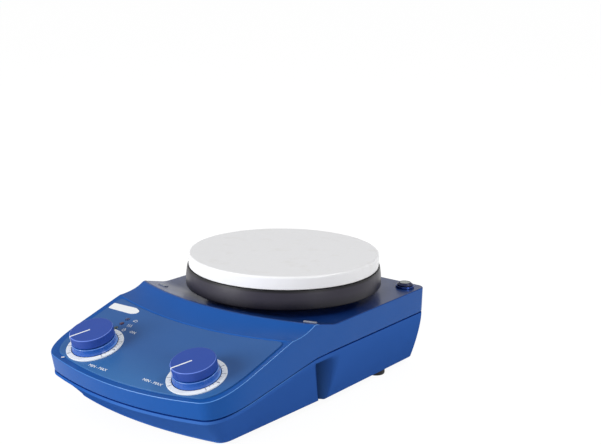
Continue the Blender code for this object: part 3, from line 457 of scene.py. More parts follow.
class Paint:
    """A material being mixed: its nodes, and the Principled shader that they end in."""

    def __init__(self, name, colour, roughness, metallic=0.0, shine=0.5, **constants):
        self.material = bpy.data.materials.new(name)
        self.material.use_nodes = True
        self.nodes = self.material.node_tree.nodes
        self.links = self.material.node_tree.links
        self.shader = self.nodes["Principled BSDF"]
        self.colour = self.tint = tuple(colour)
        self.feed(self.shader, "Base Color", (*colour, 1))
        self.feed(self.shader, "Roughness", roughness)
        self.feed(self.shader, "Metallic", metallic)
        self.feed(self.shader, "Specular IOR Level", shine)
        for socket, value in constants.items():
            self.feed(self.shader, socket.replace("_", " "), value)
        places = self.make("ShaderNodeTexCoord")
        self.place = places["Object"]
        self.facing = places["Normal"]

    def feed(self, node, key, value):
        """Link or set one input, named by its place, its identifier or its name."""
        if isinstance(key, int):
            socket = node.inputs[key]
        else:
            socket = next((s for s in node.inputs if s.identifier == key), None) or node.inputs[key]
        if isinstance(value, Wire):
            self.links.new(value.socket, socket)
        else:
            socket.default_value = value

    def make(self, kind, settings=(), inputs=()):
        """Add a node with its settings and inputs; returns its outputs as wires."""
        node = self.nodes.new(kind)
        for key, value in dict(settings).items():
            setattr(node, key, value)
        for key, value in dict(inputs).items():
            self.feed(node, key, value)
        return {socket.identifier: Wire(self, socket) for socket in node.outputs}

    def maths(self, operation, *values):
        return self.make("ShaderNodeMath", {"operation": operation}, dict(enumerate(values)))["Value"]

    def noise(self, size, detail=2.0, vector=None):
        inputs = {"Vector": vector or self.place, "Scale": 1 / size, "Detail": detail}
        return self.make("ShaderNodeTexNoise", (), inputs)["Fac"]

    def stretched(self, scale):
        """The place on the piece, scaled along each axis."""
        return self.make("ShaderNodeVectorMath", {"operation": "MULTIPLY"},
                         {0: self.place, 1: scale})["Vector"]

    def axes(self, vector=None):
        """The place on the piece as three numbers, or another vector's three parts."""
        parts = self.make("ShaderNodeSeparateXYZ", (), {"Vector": vector or self.place})
        return parts["X"], parts["Y"], parts["Z"]

    def rounded_edges(self, low=0.25, high=0.89):
        """1 on edges that turn over from the top to the sides, 0 on the flats."""
        up = self.axes(self.facing)[2]
        return self.limit(up, low, low + 0.2) * self.limit(up, high - 0.14, high, 1, 0)

    def blend(self, factor, first, second):
        colours = [value if isinstance(value, Wire) else (*value, 1) for value in (first, second)]
        inputs = {"Factor_Float": factor, "A_Color": colours[0], "B_Color": colours[1]}
        return self.make("ShaderNodeMix", {"data_type": "RGBA"}, inputs)["Result_Color"]

    def limit(self, value, low, high, to_low=0.0, to_high=1.0):
        """Carry a value's range on to another range, held at its ends."""
        inputs = {"Value": value, "From Min": low, "From Max": high, "To Min": to_low, "To Max": to_high}
        return self.make("ShaderNodeMapRange", {"clamp": True}, inputs)["Result"]

    def vary(self, spread, size, detail=2.0):
        """Let the colour drift a share darker and lighter over patches of a size."""
        dark = [value * (1 - spread) for value in self.colour]
        light = [min(value * (1 + spread), 1) for value in self.colour]
        self.tint = self.blend(self.noise(size, detail), dark, light)
        self.feed(self.shader, "Base Color", self.tint)

    def wash(self, share, colour):
        """Lay another colour over a share of the one that is there."""
        self.tint = self.blend(share, self.tint, colour)
        self.feed(self.shader, "Base Color", self.tint)

    def gloss(self, low, high, size, detail=2.0):
        """Let the roughness drift between two values over patches of a size."""
        self.feed(self.shader, "Roughness", self.limit(self.noise(size, detail), 0.3, 0.7, low, high))

    def relief(self, height, distance):
        """Raise the surface a distance by a height; returns the paint itself."""
        bump = self.make("ShaderNodeBump", (), {"Strength": 1, "Distance": distance, "Height": height})
        self.feed(self.shader, "Normal", bump["Normal"])
        return self


def plastic(name, colour, roughness, grain=0.35 * mm, depth=0.008 * mm, shine=0.25, **constants):
    """Moulded plastic: a fine even grain, and gloss that drifts a little where hands rub it."""
    paint = Paint(name, colour, roughness, 0, shine, **constants)
    paint.vary(0.05, 30 * mm)
    paint.gloss(roughness - 0.04, roughness + 0.06, 18 * mm, 4)
    return paint.relief(paint.noise(grain, 3), depth)


def moulded(*settings, **constants):
    return plastic(*settings, **constants).material


def polished_edges(paint, edge, where=1.0):
    """Paint a highlight on the rounded edges of a plastic, in a paler colour."""
    paint.wash(paint.rounded_edges() * where, edge)


def shell_plastic(look):
    """The upper shell's plastic: painted highlight on the crest, painted shade on the deck, round the tray,
    underneath and on faces turned up, and the deck polished by wiping.
    """
    paint = plastic("upper_shell_plastic", look.colour, look.roughness, look.grain, shine=0.14,
                    Coat_Roughness=0.26)
    across, along = paint.axes()[:2]
    outer = paint.limit(paint.maths("ABSOLUTE", across), side_half - 2 * mm, side_half - 1.4 * mm)
    nose = paint.limit(along, crest_nose, crest_nose + 2 * mm, 1, 0)
    fore = paint.limit(along, crest_end, crest_end + 2 * mm, 1, 0)
    back, up = paint.axes(paint.facing)[1:]
    deck = paint.limit(up, 0.8, 0.92) * paint.limit(back, -0.15, -0.04)
    crown = mix(ridge_run, ridge_run + ridge_sweep, across * across * (1 / side_half ** 2))
    deck = deck * paint.limit(along - front_y - crown, -3 * mm, 0)
    # Painted shade: faces turned up darkened a little, and the deck strongly, towards the deck colour.
    paint.wash(paint.limit(up, 0.6, 0.85) * 0.14, look.deck)
    paint.wash(deck * 0.7, look.deck)
    # Painted shadow under and round the tray, on faces turned up, in the deck colour.
    behind = along - plate_axis.y
    reach = paint.maths("SQRT", across * across + behind * behind)
    tray_shadow = paint.limit(reach, tray_radius - 4 * mm, tray_radius + 9 * mm, 0.8, 0)
    paint.wash(tray_shadow * paint.limit(up, 0.3, 0.6), look.deck)
    # Painted shade on faces turned down and on the rounded edges along the deck's sides, in the seam colour.
    shut = paint.maths("MAXIMUM", paint.limit(up, -0.3, -0.5), paint.rounded_edges() * outer * (1 - fore))
    paint.wash(shut * 0.7, look.seam)
    # Painted highlight on the rounded crest, along the front and up the sides to the ridge, fainter towards
    # the left.
    lit = paint.limit(across, -50 * mm, 20 * mm, 0.45, 0.95)
    crest = paint.rounded_edges(0.32, 0.84) * paint.maths("MAXIMUM", outer, nose) * fore * lit
    paint.wash(crest, look.edge)
    wiped = deck * paint.limit(back, 0.03, 0.12, 0.75, 0.45)
    paint.feed(paint.shader, "Coat Weight", paint.maths("MAXIMUM", wiped, crest))
    return paint.material


def base_plastic(look):
    """The lower shell's plastic: painted shade in the scoops, at the shut line and on the front left corner,
    faces turned forward painted paler, and a painted highlight along its top edge.
    """
    paint = plastic("lower_shell_plastic", look.base, look.roughness + 0.1, look.grain, shine=0.0)
    across, along, height = paint.axes()
    # Painted shade deep in the finger scoops, fading out along each scoop.
    top = seam_height - lip_height
    share = (top - height) * (1 / (top - table_gap))
    past = paint.maths("DIVIDE", along - front_y - mix(scoop_run, scoop_foot_run, share),
                       mix(scoop_length, scoop_foot_length, share))
    hollow = paint.limit(past, -0.08, 0) * paint.limit(past, 0.2, 1, 1, 0)
    hollow = hollow * paint.limit(height, top - scoop_roof, top, 1, 0)
    hollow = hollow * paint.limit(paint.maths("ABSOLUTE", across), side_half / 2, side_half * 0.7)
    paint.wash(hollow * 0.9, look.hollow)
    # Painted light and shade by facing: faces turned forward a little paler, the front left corner darker.
    side, back, up = paint.axes(paint.facing)
    corner = paint.limit(side, -0.15, 0.02, 1, 0) * paint.limit(back, -0.6, -0.3, 1, 0)
    paint.wash(paint.limit(back, -0.8, -0.4, 0.13, 0) * (1 - corner), look.edge)
    paint.wash(corner * 0.45, look.colour)
    # Painted shade on faces turned up, in the shut line, in the seam colour.
    paint.wash(paint.limit(up, 0.3, 0.55), look.seam)
    # Painted highlight on the rounded top edge, from behind the front corners to the scoops.
    fore = paint.limit(along, front_y + 20 * mm, front_y + 36 * mm)
    fore = fore * paint.limit(along, front_y + 80 * mm, front_y + 110 * mm, 1, 0)
    polished_edges(paint, look.edge, fore * 0.6)
    return paint.material


def printed(name, colour, roughness=0.45):
    """Screen-printed ink, a little uneven in cover."""
    paint = Paint(name, colour, roughness)
    paint.vary(0.06, 0.6 * mm)
    return paint.relief(paint.noise(0.15 * mm), 0.004 * mm).material


def glazed(name, colour, roughness):
    """Glazed ceramic: even, with a faint orange peel and hair-fine rubbed marks."""
    paint = Paint(name, colour, roughness)
    fine = paint.noise(1.4 * mm, 3)
    rubbed = paint.noise(0.5 * mm, 4, paint.stretched((1, 0.08, 1)))
    stain = paint.limit(paint.noise(14 * mm, 5), 0.56, 0.74)
    paint.wash(stain * 0.25, screen(226, 222, 214))
    paint.feed(paint.shader, "Roughness", paint.limit(rubbed, 0.35, 0.7, roughness, roughness + 0.1))
    return paint.relief(fine, 0.01 * mm).material


def enamelled(name, colour, roughness, foot, lip):
    """Cured dark enamel on pressed metal, with painted shade along its foot and under its lip."""
    paint = Paint(name, colour, roughness, 0, 0.3)
    height = paint.axes()[2]
    # Painted shade along the foot and in a band just under the lip.
    foot_and_lip_shade = paint.maths("MAXIMUM", paint.limit(height, foot, foot + 7 * mm, 0.9, 0),
                        paint.limit(height, lip - 1.8 * mm, lip - 0.7 * mm, 0, 0.9))
    paint.vary(0.12, 9 * mm, 4)
    paint.wash(foot_and_lip_shade, screen(6, 5, 9))
    paint.gloss(roughness - 0.05, roughness + 0.08, 12 * mm, 3)
    return paint.relief(paint.noise(0.4 * mm, 4), 0.015 * mm).material


def metal(name, colour, roughness, grain=(1, 1, 0.05)):
    """Drawn or turned metal, with its grain stretched along one way."""
    paint = Paint(name, colour, roughness, 1.0)
    lines = paint.noise(0.25 * mm, 4, paint.stretched(grain))
    dark = [value * 0.82 for value in colour]
    paint.feed(paint.shader, "Base Color", paint.blend(lines, dark, colour))
    paint.feed(paint.shader, "Roughness", paint.limit(lines, 0.3, 0.7, roughness - 0.06, roughness + 0.1))
    return paint.relief(lines, 0.006 * mm).material


def rubber(name, colour):
    """Moulded rubber, dusty on its high spots."""
    paint = Paint(name, colour, 0.75)
    dust = paint.limit(paint.noise(2.5 * mm, 5), 0.5, 0.75)
    paint.wash(dust * 0.25, screen(92, 90, 88))
    return paint.relief(paint.noise(0.3 * mm, 3), 0.03 * mm).material


def lens(name, colour):
    """Tinted indicator lens over an unlit lamp, deeper in colour towards its middle."""
    paint = Paint(name, colour, 0.15, Coat_Weight=0.6)
    paint.vary(0.25, 1.1 * mm)
    return paint.relief(paint.noise(0.5 * mm), 0.01 * mm).material


def speckled(name, colour, second, share_low, share_high, size, roughness, depth=0.05 * mm):
    """Two colours mixed by a noise: fibre, mica, sintered magnet or laminate."""
    paint = Paint(name, colour, roughness)
    patches = paint.noise(size, 5)
    paint.wash(paint.limit(patches, share_low, share_high), second)
    return paint.relief(patches, depth).material


def circuit(name, colour, copper):
    """Solder mask over copper tracks, which show as paler lines."""
    paint = Paint(name, colour, 0.4)
    across = paint.axes()[0]
    tracks = paint.maths("PINGPONG", across + paint.noise(9 * mm) * (6 * mm), 1.3 * mm)
    shows = paint.limit(tracks, 0.85 * mm, 1.0 * mm) * paint.limit(paint.noise(11 * mm), 0.42, 0.47)
    paint.wash(shows * 0.6, copper)
    return paint.relief(shows, 0.03 * mm).material


def mix(low, high, share):
    return low + (high - low) * share


def bezier(start, bend, end, steps):
    """Points of a quadratic curve between two 2-D points."""
    points = []
    for step in range(steps + 1):
        t = step / steps
        points.append(tuple((1 - t) ** 2 * a + 2 * t * (1 - t) * b + t ** 2 * c
                            for a, b, c in zip(start, bend, end)))
    return points


def arc(centre, radius, start, end, steps):
    points = []
    for step in range(steps + 1):
        angle = mix(start, end, step / steps)
        points.append((centre[0] + radius * math.cos(angle), centre[1] + radius * math.sin(angle)))
    return points


def rounded(points, steps=4, closed=False):
    """Round the corners of a 2-D line; a point is (x, y) or (x, y, how far the rounding reaches)."""
    made = []
    count = len(points)
    for k, point in enumerate(points):
        ends = not closed and k in (0, count - 1)
        if len(point) < 3 or ends:
            made.append(tuple(point[:2]))
            continue
        here = Vector(point[:2])
        before = Vector(points[k - 1][:2]) - here
        after = Vector(points[(k + 1) % count][:2]) - here
        start = here + before.normalized() * min(point[2], before.length / 2)
        end = here + after.normalized() * min(point[2], after.length / 2)
        made += bezier(start, here, end, steps)
    return made


def lathe(profile, steps=64):
    """Turn a (radius, height) profile about Z; it closes on itself where it stays off the axis."""
    mesh = bmesh.new()
    verts = [mesh.verts.new((radius, 0, height)) for radius, height in profile]
    edges = [mesh.edges.new(pair) for pair in zip(verts, verts[1:])]
    if profile[0][0] > 0:
        edges.append(mesh.edges.new((verts[-1], verts[0])))
    bmesh.ops.spin(mesh, geom=verts + edges, axis=(0, 0, 1), cent=(0, 0, 0), angle=2 * math.pi,
                   steps=steps, use_merge=True)
    bmesh.ops.remove_doubles(mesh, verts=mesh.verts, dist=weld)
    return mesh


def rod(radius, low, high, steps=32):
    return lathe([(0, low), (radius, low), (radius, high), (0, high)], steps)


def slab(outline, low, high):
    """Extrude a flat outline from one height to another."""
    mesh = bmesh.new()
    face = mesh.faces.new([mesh.verts.new((x, y, low)) for x, y in outline])
    grown = bmesh.ops.extrude_face_region(mesh, geom=[face])
    moved_verts = [item for item in grown["geom"] if isinstance(item, bmesh.types.BMVert)]
    bmesh.ops.translate(mesh, verts=moved_verts, vec=(0, 0, high - low))
    return mesh


def block(low, high):
    """A box between two opposite corners, to cut with."""
    (x0, y0, z0), (x1, y1, z1) = low, high
    return slab([(x0, y0), (x1, y0), (x1, y1), (x0, y1)], z0, z1)


def rectangle(half_x, half_y, radius=0):
    corners = [(-half_x, -half_y), (half_x, -half_y), (half_x, half_y), (-half_x, half_y)]
    return rounded([(*corner, radius) for corner in corners], closed=True) if radius else corners


def skin(rings):
    """Skin rings of equal counts, open at both ends; returns the mesh and its loops of points."""
    mesh = bmesh.new()
    loops = [[mesh.verts.new(point) for point in ring] for ring in rings]
    count = len(loops[0])
    for lower, upper in zip(loops, loops[1:]):
        for k in range(count):
            far = (k + 1) % count
            mesh.faces.new((lower[k], lower[far], upper[far], upper[k]))
    return mesh, loops


def loft(rings, bands=False):
    """Skin rings and close both ends, in bands across the body where they aren't flat."""
    mesh, loops = skin(rings)
    for loop in (loops[0], loops[-1]):
        cap(mesh, loop, bands)
    return mesh


def cap(mesh, loop, bands):
    """Close a loop with one face, or with faces that run from its right half to its left half."""
    if not bands:
        mesh.faces.new(loop)
        return
    count = len(loop)
    for k in range(count // 2):
        corners = (loop[k], loop[k + 1], loop[count - k - 1], loop[(count - k) % count])
        mesh.faces.new(list(dict.fromkeys(corners)))


def gather(meshes):
    """Put separate solids into one mesh."""
    whole = bmesh.new()
    for mesh in meshes:
        holder = bpy.data.meshes.new("holder")
        bmesh.ops.recalc_face_normals(mesh, faces=mesh.faces)
        mesh.to_mesh(holder)
        mesh.free()
        whole.from_mesh(holder)
        bpy.data.meshes.remove(holder)
    return whole


def moved(mesh, x=0, y=0, z=0):
    bmesh.ops.translate(mesh, verts=mesh.verts, vec=(x, y, z))
    return mesh


def turned(mesh, matrix):
    bmesh.ops.transform(mesh, matrix=matrix, verts=mesh.verts)
    return mesh


def many(places, make):
    return gather([moved(make(), x, y) for x, y in places])


def enlarged(sizes, gap):
    return [size + gap for size in sizes]


def put(name, data):
    """Link a new object that holds a mesh, a curve, a lamp or a camera."""
    thing = bpy.data.objects.new(name, data)
    bpy.context.scene.collection.objects.link(thing)
    return thing


def combined(mesh, other, operation):
    """One mesh after a Boolean with another; both are used up."""
    things = []
    for part in (mesh, other):
        data = bpy.data.meshes.new("blank")
        bmesh.ops.recalc_face_normals(part, faces=part.faces)
        part.to_mesh(data)
        part.free()
        things.append(put("blank", data))
    change = things[0].modifiers.new("shape", "BOOLEAN")
    change.operation = operation
    change.solver = "EXACT"
    change.object = things[1]
    made = bmesh.new()
    made.from_object(things[0], bpy.context.evaluated_depsgraph_get())
    for thing in things:
        data = thing.data
        bpy.data.objects.remove(thing)
        bpy.data.meshes.remove(data)
    bmesh.ops.remove_doubles(made, verts=made.verts, dist=weld)
    return made


def cut(mesh, *others):
    for other in others:
        mesh = combined(mesh, other, "DIFFERENCE")
    return mesh


def join(mesh, other):
    return combined(mesh, other, "UNION")


def soften(mesh, width, angle=40 * degree, segments=3):
    """Round the edges where two faces meet at more than an angle."""
    bmesh.ops.recalc_face_normals(mesh, faces=mesh.faces)
    edges = [edge for edge in mesh.edges if edge.is_manifold and edge.calc_face_angle(0) > angle]
    bmesh.ops.bevel(mesh, geom=edges, offset=width, segments=segments, profile=0.5, affect="EDGES",
                    clamp_overlap=True)
    return mesh


def piece(name, mesh, material, body, slot, *stands_for, matrix=None, sharp=28 * degree, weighted=True):
    """Link a mesh as one piece that rides on a body and stands for nodes of the solid model."""
    data = bpy.data.meshes.new(name)
    bmesh.ops.recalc_face_normals(mesh, faces=mesh.faces)
    if matrix:
        turned(mesh, matrix)
    mesh.to_mesh(data)
    mesh.free()
    data.shade_smooth()
    data.set_sharp_from_angle(angle=sharp)
    data.materials.append(material)
    thing = put(name, data)
    if weighted:
        change = thing.modifiers.new("even_shading", "WEIGHTED_NORMAL")
        change.keep_sharp = True
        change.weight = 90
    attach(thing, body)
    if stands_for:
        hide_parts(*stands_for)


def strokes(lines, width, low, high):
    """Flat strokes of ink along 2-D lines."""
    parts = []
    for line in lines:
        for start, end in zip(line, line[1:]):
            ahead = Vector(end) - Vector(start)
            side = Vector((-ahead.y, ahead.x)).normalized() * width / 2
            reach = ahead.normalized() * width / 4
            a, b = Vector(start) - reach, Vector(end) + reach
            corners = [tuple(corner) for corner in (a - side, b - side, b + side, a + side)]
            parts.append(slab(corners, low, high))
    return gather(parts)


def lettering(text, height, low, high, place=(0, 0), turn=0.0):
    """Numerals or letters as a thin solid, centred on a place."""
    curve = bpy.data.curves.new("lettering", "FONT")
    curve.body = text
    curve.align_x = "CENTER"
    curve.align_y = "CENTER"
    curve.size = height * 1.4
    curve.resolution_u = 2
    curve.extrude = (high - low) / 2
    thing = put("lettering", curve)
    flat = bpy.data.meshes.new_from_object(thing)
    mesh = bmesh.new()
    mesh.from_mesh(flat)
    bpy.data.objects.remove(thing)
    bpy.data.curves.remove(curve)
    bpy.data.meshes.remove(flat)
    bmesh.ops.remove_doubles(mesh, verts=mesh.verts, dist=weld)
    return turned(mesh, Matrix.Translation((*place, (low + high) / 2)) @ Matrix.Rotation(turn, 4, "Z"))


def bow(across):
    """How far the bowed front edge falls back at a distance from the middle."""
    return nose_radius - math.sqrt(nose_radius ** 2 - across ** 2)


def front_half(front, half, across, along):
    """Bowed front edge and its right corner as (across, run), from the middle outwards."""
    start = half - across
    slope = start / math.sqrt(nose_radius ** 2 - start ** 2)
    nose = [(start * k / nose_steps, front + bow(start * k / nose_steps)) for k in range(nose_steps)]
    bend = (half, front + bow(start) + slope * across)
    return nose + bezier((start, front + bow(start)), bend, (half, bend[1] + along), corner_steps)


def rear_half(half, back):
    centre = (half - rear_corner, back - rear_corner)
    return arc(centre, rear_corner, 0, math.pi / 2, rear_steps) + [(0, back)]


def mirrored(right):
    """Closed ring from its right half, which starts and ends on the middle line."""
    return right + [Vector((-point.x, point.y, point.z)) for point in reversed(right[1:-1])]


def in_space(outline, height_at):
    return [Vector((across, front_y + run, height_at(run))) for across, run in outline]


def seam(run):
    """Height of the shut line: level at the back, falling towards the front."""
    ahead = seam_bend_run - run
    if ahead <= -seam_bend:
        return seam_height
    if ahead >= seam_bend:
        return seam_height - seam_slope * ahead
    return seam_height - seam_slope * (ahead + seam_bend) ** 2 / (4 * seam_bend)


def console(run):
    return crest_height + console_slope * run


def top_profile(across):
    """Cove, ridge and ramp as (run, height), at a distance from the middle."""
    share = (across / side_half) ** 2
    base = cove_run + cove_sweep * share
    bend = (cove_bend_run + cove_bend_sweep * share, deck_height + ridge_drop * share)
    crown = ridge_run + ridge_sweep * share
    foot = ramp_run + ramp_sweep * share
    rise = (crown - ridge_round, ridge_height - ridge_drop)
    fall = (crown + ridge_round, ridge_height - ridge_drop)
    fall_slope = (fall[1] - deck_height) / (foot - fall[0])
    points = bezier((base, console(base)), bend, rise, cove_steps)
    points += bezier(rise, (crown, ridge_height + ridge_drop), fall, ridge_steps)[1:]
    return points + bezier((foot - ramp_round, deck_height + fall_slope * ramp_round), (foot, deck_height),
                           (foot + ramp_round, deck_height), ramp_steps)


def surface(across, run):
    """Height of the upper shell's top at a place."""
    profile = top_profile(across)
    if run <= profile[0][0]:
        return console(run)
    for (near, low), (far, high) in zip(profile, profile[1:]):
        if run <= far:
            return mix(low, high, (run - near) / (far - near))
    return deck_height


def surface_normal(across, run):
    reach = 0.4 * mm
    slope_x = (surface(across + reach, run) - surface(across - reach, run)) / (2 * reach)
    slope_y = (surface(across, run + reach) - surface(across, run - reach)) / (2 * reach)
    return Vector((-slope_x, -slope_y, 1)).normalized()


def fillet(corner, first, second, radius, steps):
    """Points of a rounding between two faces that meet in a corner, given by their normals."""
    centre = corner - radius * (first + second) / (1 + first.dot(second))
    return [centre + radius * first.slerp(second, step / steps) for step in range(steps + 1)]


def upper_half(inset, rise):
    """Right half of the upper shell's side at a height over the shut line."""
    face_slope = (crest_height - seam(seam_setback)) / seam_setback
    front = seam_setback + inset - rise / (face_slope + seam_slope)
    half = side_half - seam_draw - inset + seam_draw * rise / lean_reach
    profile_runs = tuple(run for run, _ in top_profile(side_half))
    runs = console_side_runs + profile_runs + deck_side_runs
    outline = front_half(front, half, corner_across, corner_along) + [(half, run) for run in runs]
    return in_space(outline + rear_half(half, body_depth - inset), lambda run: seam(run) + rise)


def upper_solid(inset, drop, base_rise, crest, lower_edge):
    """Upper shell without its hollow: leaning sides, a rounded crest and the console, ridge and deck."""
    low, high = upper_half(inset, 0), upper_half(inset, lean_reach)
    count = len(low)
    columns_up = []
    for k in range(count):
        def on_side(share, index=k):
            return low[index].lerp(high[index], share)

        under, over = -0.5, 1.2
        for _ in range(halvings):
            middle = (under + over) / 2
            point = on_side(middle)
            if point.z > surface(point.x, point.y - front_y) - drop:
                over = middle
            else:
                under = middle
        corner = on_side(under)
        near, far = max(k - 1, 0), min(k + 1, count - 1)
        along = low[far].lerp(high[far], under) - low[near].lerp(high[near], under)
        if k in (0, count - 1):
            along = Vector((1 if k == 0 else -1, 0, 0))
        side = along.cross(on_side(1) - on_side(0)).normalized()
        top = surface_normal(corner.x, corner.y - front_y)
        run = low[k].y - front_y
        fall = (seam(run + weld) - seam(run - weld)) / (2 * weld)
        bottom = Vector((0, fall, -1)).normalized()
        start = on_side(base_rise / lean_reach)
        foot = fillet(start, bottom, side, lower_edge, 3)
        head = fillet(corner, side, top, crest, 5)
        between = [foot[-1].lerp(head[0], share) for share in (0.25, 0.5, 0.75)]
        columns_up.append(foot + between + head)
    mesh, loops = skin([mirrored(list(row)) for row in zip(*columns_up)])
    cap(mesh, loops[0], True)
    cover(mesh, loops[-1], drop)
    return mesh


def cover(mesh, loop, drop):
    """Close the top: one face for the console, a grid over cove, ridge and ramp, one face for the deck."""
    total = len(loop)
    first = nose_steps + corner_steps + 1 + len(console_side_runs)
    rows = len(top_profile(0))
    grid = []
    for row in range(rows):
        right, left = loop[first + row], loop[total - first - row]
        inner = []
        for column in range(1, columns):
            across = mix(right.co.x, left.co.x, column / columns)
            run, height = top_profile(across)[row]
            inner.append(mesh.verts.new((across, front_y + run, height - drop)))
        grid.append([right] + inner + [left])
    for lower, upper in zip(grid, grid[1:]):
        for k in range(columns):
            mesh.faces.new((lower[k], lower[k + 1], upper[k + 1], upper[k]))
    mesh.faces.new(loop[:first] + grid[0] + loop[total - first + 1:])
    mesh.faces.new(loop[first + rows - 1:total - first - rows + 2] + grid[-1][-2:0:-1])


def seam_level(inset=0):
    """Plan of the body at the shut line, drawn in by an inset."""
    half = side_half - seam_draw - inset
    return Level(seam_setback + inset, half, 0, half, body_depth - inset, corner_across, corner_along,
                 scoop_run)


def base_level(inset=0):
    """Plan of the body at its base, drawn in by an inset."""
    return Level(base_setback + inset, base_fore_half - inset, base_flare, base_flank_half - inset,
                 body_depth - inset, base_corner_across, base_corner_along, scoop_foot_run)


def between_levels(top, foot, share):
    """Plan part of the way down from one level to another."""
    level = Level(*(mix(high, low, share) for high, low in zip(top, foot)))
    return level._replace(flank=mix(top.flank, foot.flank, share ** flank_curve_share))


def lower_half(level):
    """Right half of the lower shell's plan, narrower ahead of the finger scoop."""
    fore = front_half(level.front, level.fore, level.across, level.along)
    bent = fore[-1][1]
    step = level.step - step_length / 2
    for run in lower_side_runs + (step,):
        fore.append((level.fore + level.flare * (run - bent) / (step - bent), run))
    flank = [(level.flank, level.step + step_length / 2)]
    flank += [(level.flank, mix(level.step, level.back, share)) for share in flank_shares]
    return fore + flank + rear_half(level.flank, level.back)


def lower_ring(level, height_at):
    return mirrored(in_space(lower_half(level), height_at))


def lower_solid():
    """Lower shell without its hollow, with rounded edges at the table and under the shut line."""
    rings = []
    for turn in (0, 22.5 * degree, 45 * degree, 67.5 * degree):
        level = base_level(base_edge * (1 - math.sin(turn)))
        rings.append(lower_ring(level, lambda run, t=turn: table_gap + base_edge * (1 - math.cos(t))))
    top = seam_level()
    for share in lower_shares:
        level = between_levels(top, base_level(), share)
        rings.append(lower_ring(level, lambda run, t=share: mix(seam(run) - lip_height,
                                                                table_gap + base_edge, t)))
    edge = seam_lower_edge
    for turn in (0, 22.5 * degree, 45 * degree, 67.5 * degree, 90 * degree):
        level = seam_level(edge * (1 - math.cos(turn)))
        rings.append(lower_ring(level, lambda run, t=turn: seam(run) - seam_gap / 2
                                - edge * (1 - math.sin(t))))
    return loft(rings, bands=True)


def lower_hollow():
    """Inside of the lower shell, kept off the walls of the scoops."""
    top = seam_level(wall)
    rings = []
    for share in lower_shares[::2]:
        level = between_levels(top, base_level(wall), share)
        rings.append(lower_ring(level, lambda run, t=share: mix(seam(run) - lip_height, floor_top, t)))
    rings.append(lower_ring(top, lambda run: deck_height))
    return cut(loft(rings), scoops(wall))


def scoop_solid(side, grow):
    """Finger scoop under the shut line: a raked front wall, then a curve running out to the flank."""
    roof = seam_height - scoop_roof + grow
    rings = []
    for share in scoop_shares:
        bounded = min(max(share, 0), 1)
        level = between_levels(seam_level(), base_level(), bounded)
        length = mix(scoop_length, scoop_foot_length, bounded)
        height = mix(seam_height - lip_height, table_gap, share)
        height = min(height, roof) if share <= 0 else height
        start = mix(scoop_run, scoop_foot_run, share)
        points = [(level.flank + scoop_depth, start - grow)]
        if grow:
            points.append((level.flank - scoop_depth - grow, start - grow))
        for step in range(scoop_steps + 1):
            u = step / scoop_steps
            depth = scoop_depth * (1 - u) ** 2 - base_edge * u + grow
            points.append((level.flank - depth, start + grow + length * u))
        points.append((level.flank + scoop_depth, start + grow + length))
        rings.append([Vector((side * across, front_y + run, height)) for across, run in points])
    rings[0] = [Vector((point.x, point.y, roof)) for point in rings[1]]
    solid = loft(rings)
    bmesh.ops.triangulate(solid, faces=solid.faces)
    return solid


def scoops(grow):
    return gather([scoop_solid(side, grow) for side in (-1, 1)])


def console_outline(margin, rear_margin):
    """Plan of the console's film, or of its rim where the margins are smaller."""
    half = side_half - margin

    def back(across):
        return cove_run + cove_sweep * (across / side_half) ** 2 - rear_margin

    turn = half - film_corner
    rear = bezier((half, back(half) - film_corner), (half, back(half)), (turn, back(turn)), rear_steps)
    back_line = [(turn * share, back(turn * share)) for share in film_back_shares]
    right = front_half(margin, half, corner_across, corner_along) + rear + back_line + [(0, back(0))]
    return right + [(-across, run) for across, run in reversed(right[1:-1])]


def console_slice(outline, drop):
    return in_space(outline, lambda run: console(run) - drop)


def console_frame(across, run):
    """Frame on the face of the film, with its Z square to the console."""
    origin = Vector((across, front_y + run, console(run) - film_drop))
    return Matrix.Translation(origin) @ Matrix.Rotation(console_tilt, 4, "X")


def console_ways(depth):
    """Holes square to the console for the dial bushes and the lamps."""
    holes = [(side * dial_across, dial_run, thread_radius) for side in (-1, 1)]
    holes += [(-lamp_across, lamp_run + step * lamp_pitch, lamp_radius) for step in (-1, 0, 1)]
    return gather([turned(rod(radius + seat_gap, -depth - overrun, overrun), console_frame(across, run))
                   for across, run, radius in holes])


def posts_at():
    return [(side * across, front_y + run) for across, run in (front_post, rear_post) for side in (-1, 1)]


def studs_at():
    turns = [math.pi / 4 + math.pi / 2 * k for k in range(4)]
    return [(stud_circle * math.cos(turn), plate_axis.y + stud_circle * math.sin(turn)) for turn in turns]


def board_posts_at():
    return [(x, y) for y in (board_low.y + board_inset, board_high.y - board_inset)
            for x in (board_low.x + board_inset, board_high.x - board_inset)]


def bracket_posts_at():
    return [(side * bracket_post_across, plate_axis.y) for side in (-1, 1)]


def feet_at():
    return [(side * across, front_y + run) for across, run in foot_places for side in (-1, 1)]


def rear_box(across, level, half, inner, outer):
    """A box square to the rear wall, between two distances out of it."""
    return block((across - half[0], rear_y + inner, level - half[1]),
                 (across + half[0], rear_y + outer, level + half[1]))


def facing_back(across, level, out=0.0):
    """Frame on the outside of the rear wall: X across, Y up, Z outwards."""
    return Matrix.Translation((across, rear_face + out, level)) @ Matrix.Rotation(-math.pi / 2, 4, "X") \
        @ Matrix.Rotation(math.pi, 4, "Z")


def floor_vents():
    slots = []
    for k in range(vent_count):
        y = front_y + floor_vent_run - k * vent_pitch
        for side in (-1, 1):
            outline = rectangle(vent_length / 2, vent_width / 2, vent_width / 2)
            slots.append(moved(slab(outline, 0, floor_top + overrun), side * floor_vent_across, y))
    return slots


def rear_vents():
    slots = []
    for k in range(vent_count):
        across = rear_vent_across + (k - (vent_count - 1) / 2) * rear_vent_pitch
        outline = rectangle(vent_width / 2, rear_vent_height / 2, vent_width / 2)
        slots.append(turned(slab(outline, -wall - overrun, overrun),
                            facing_back(across, rear_vent_level)))
    return slots


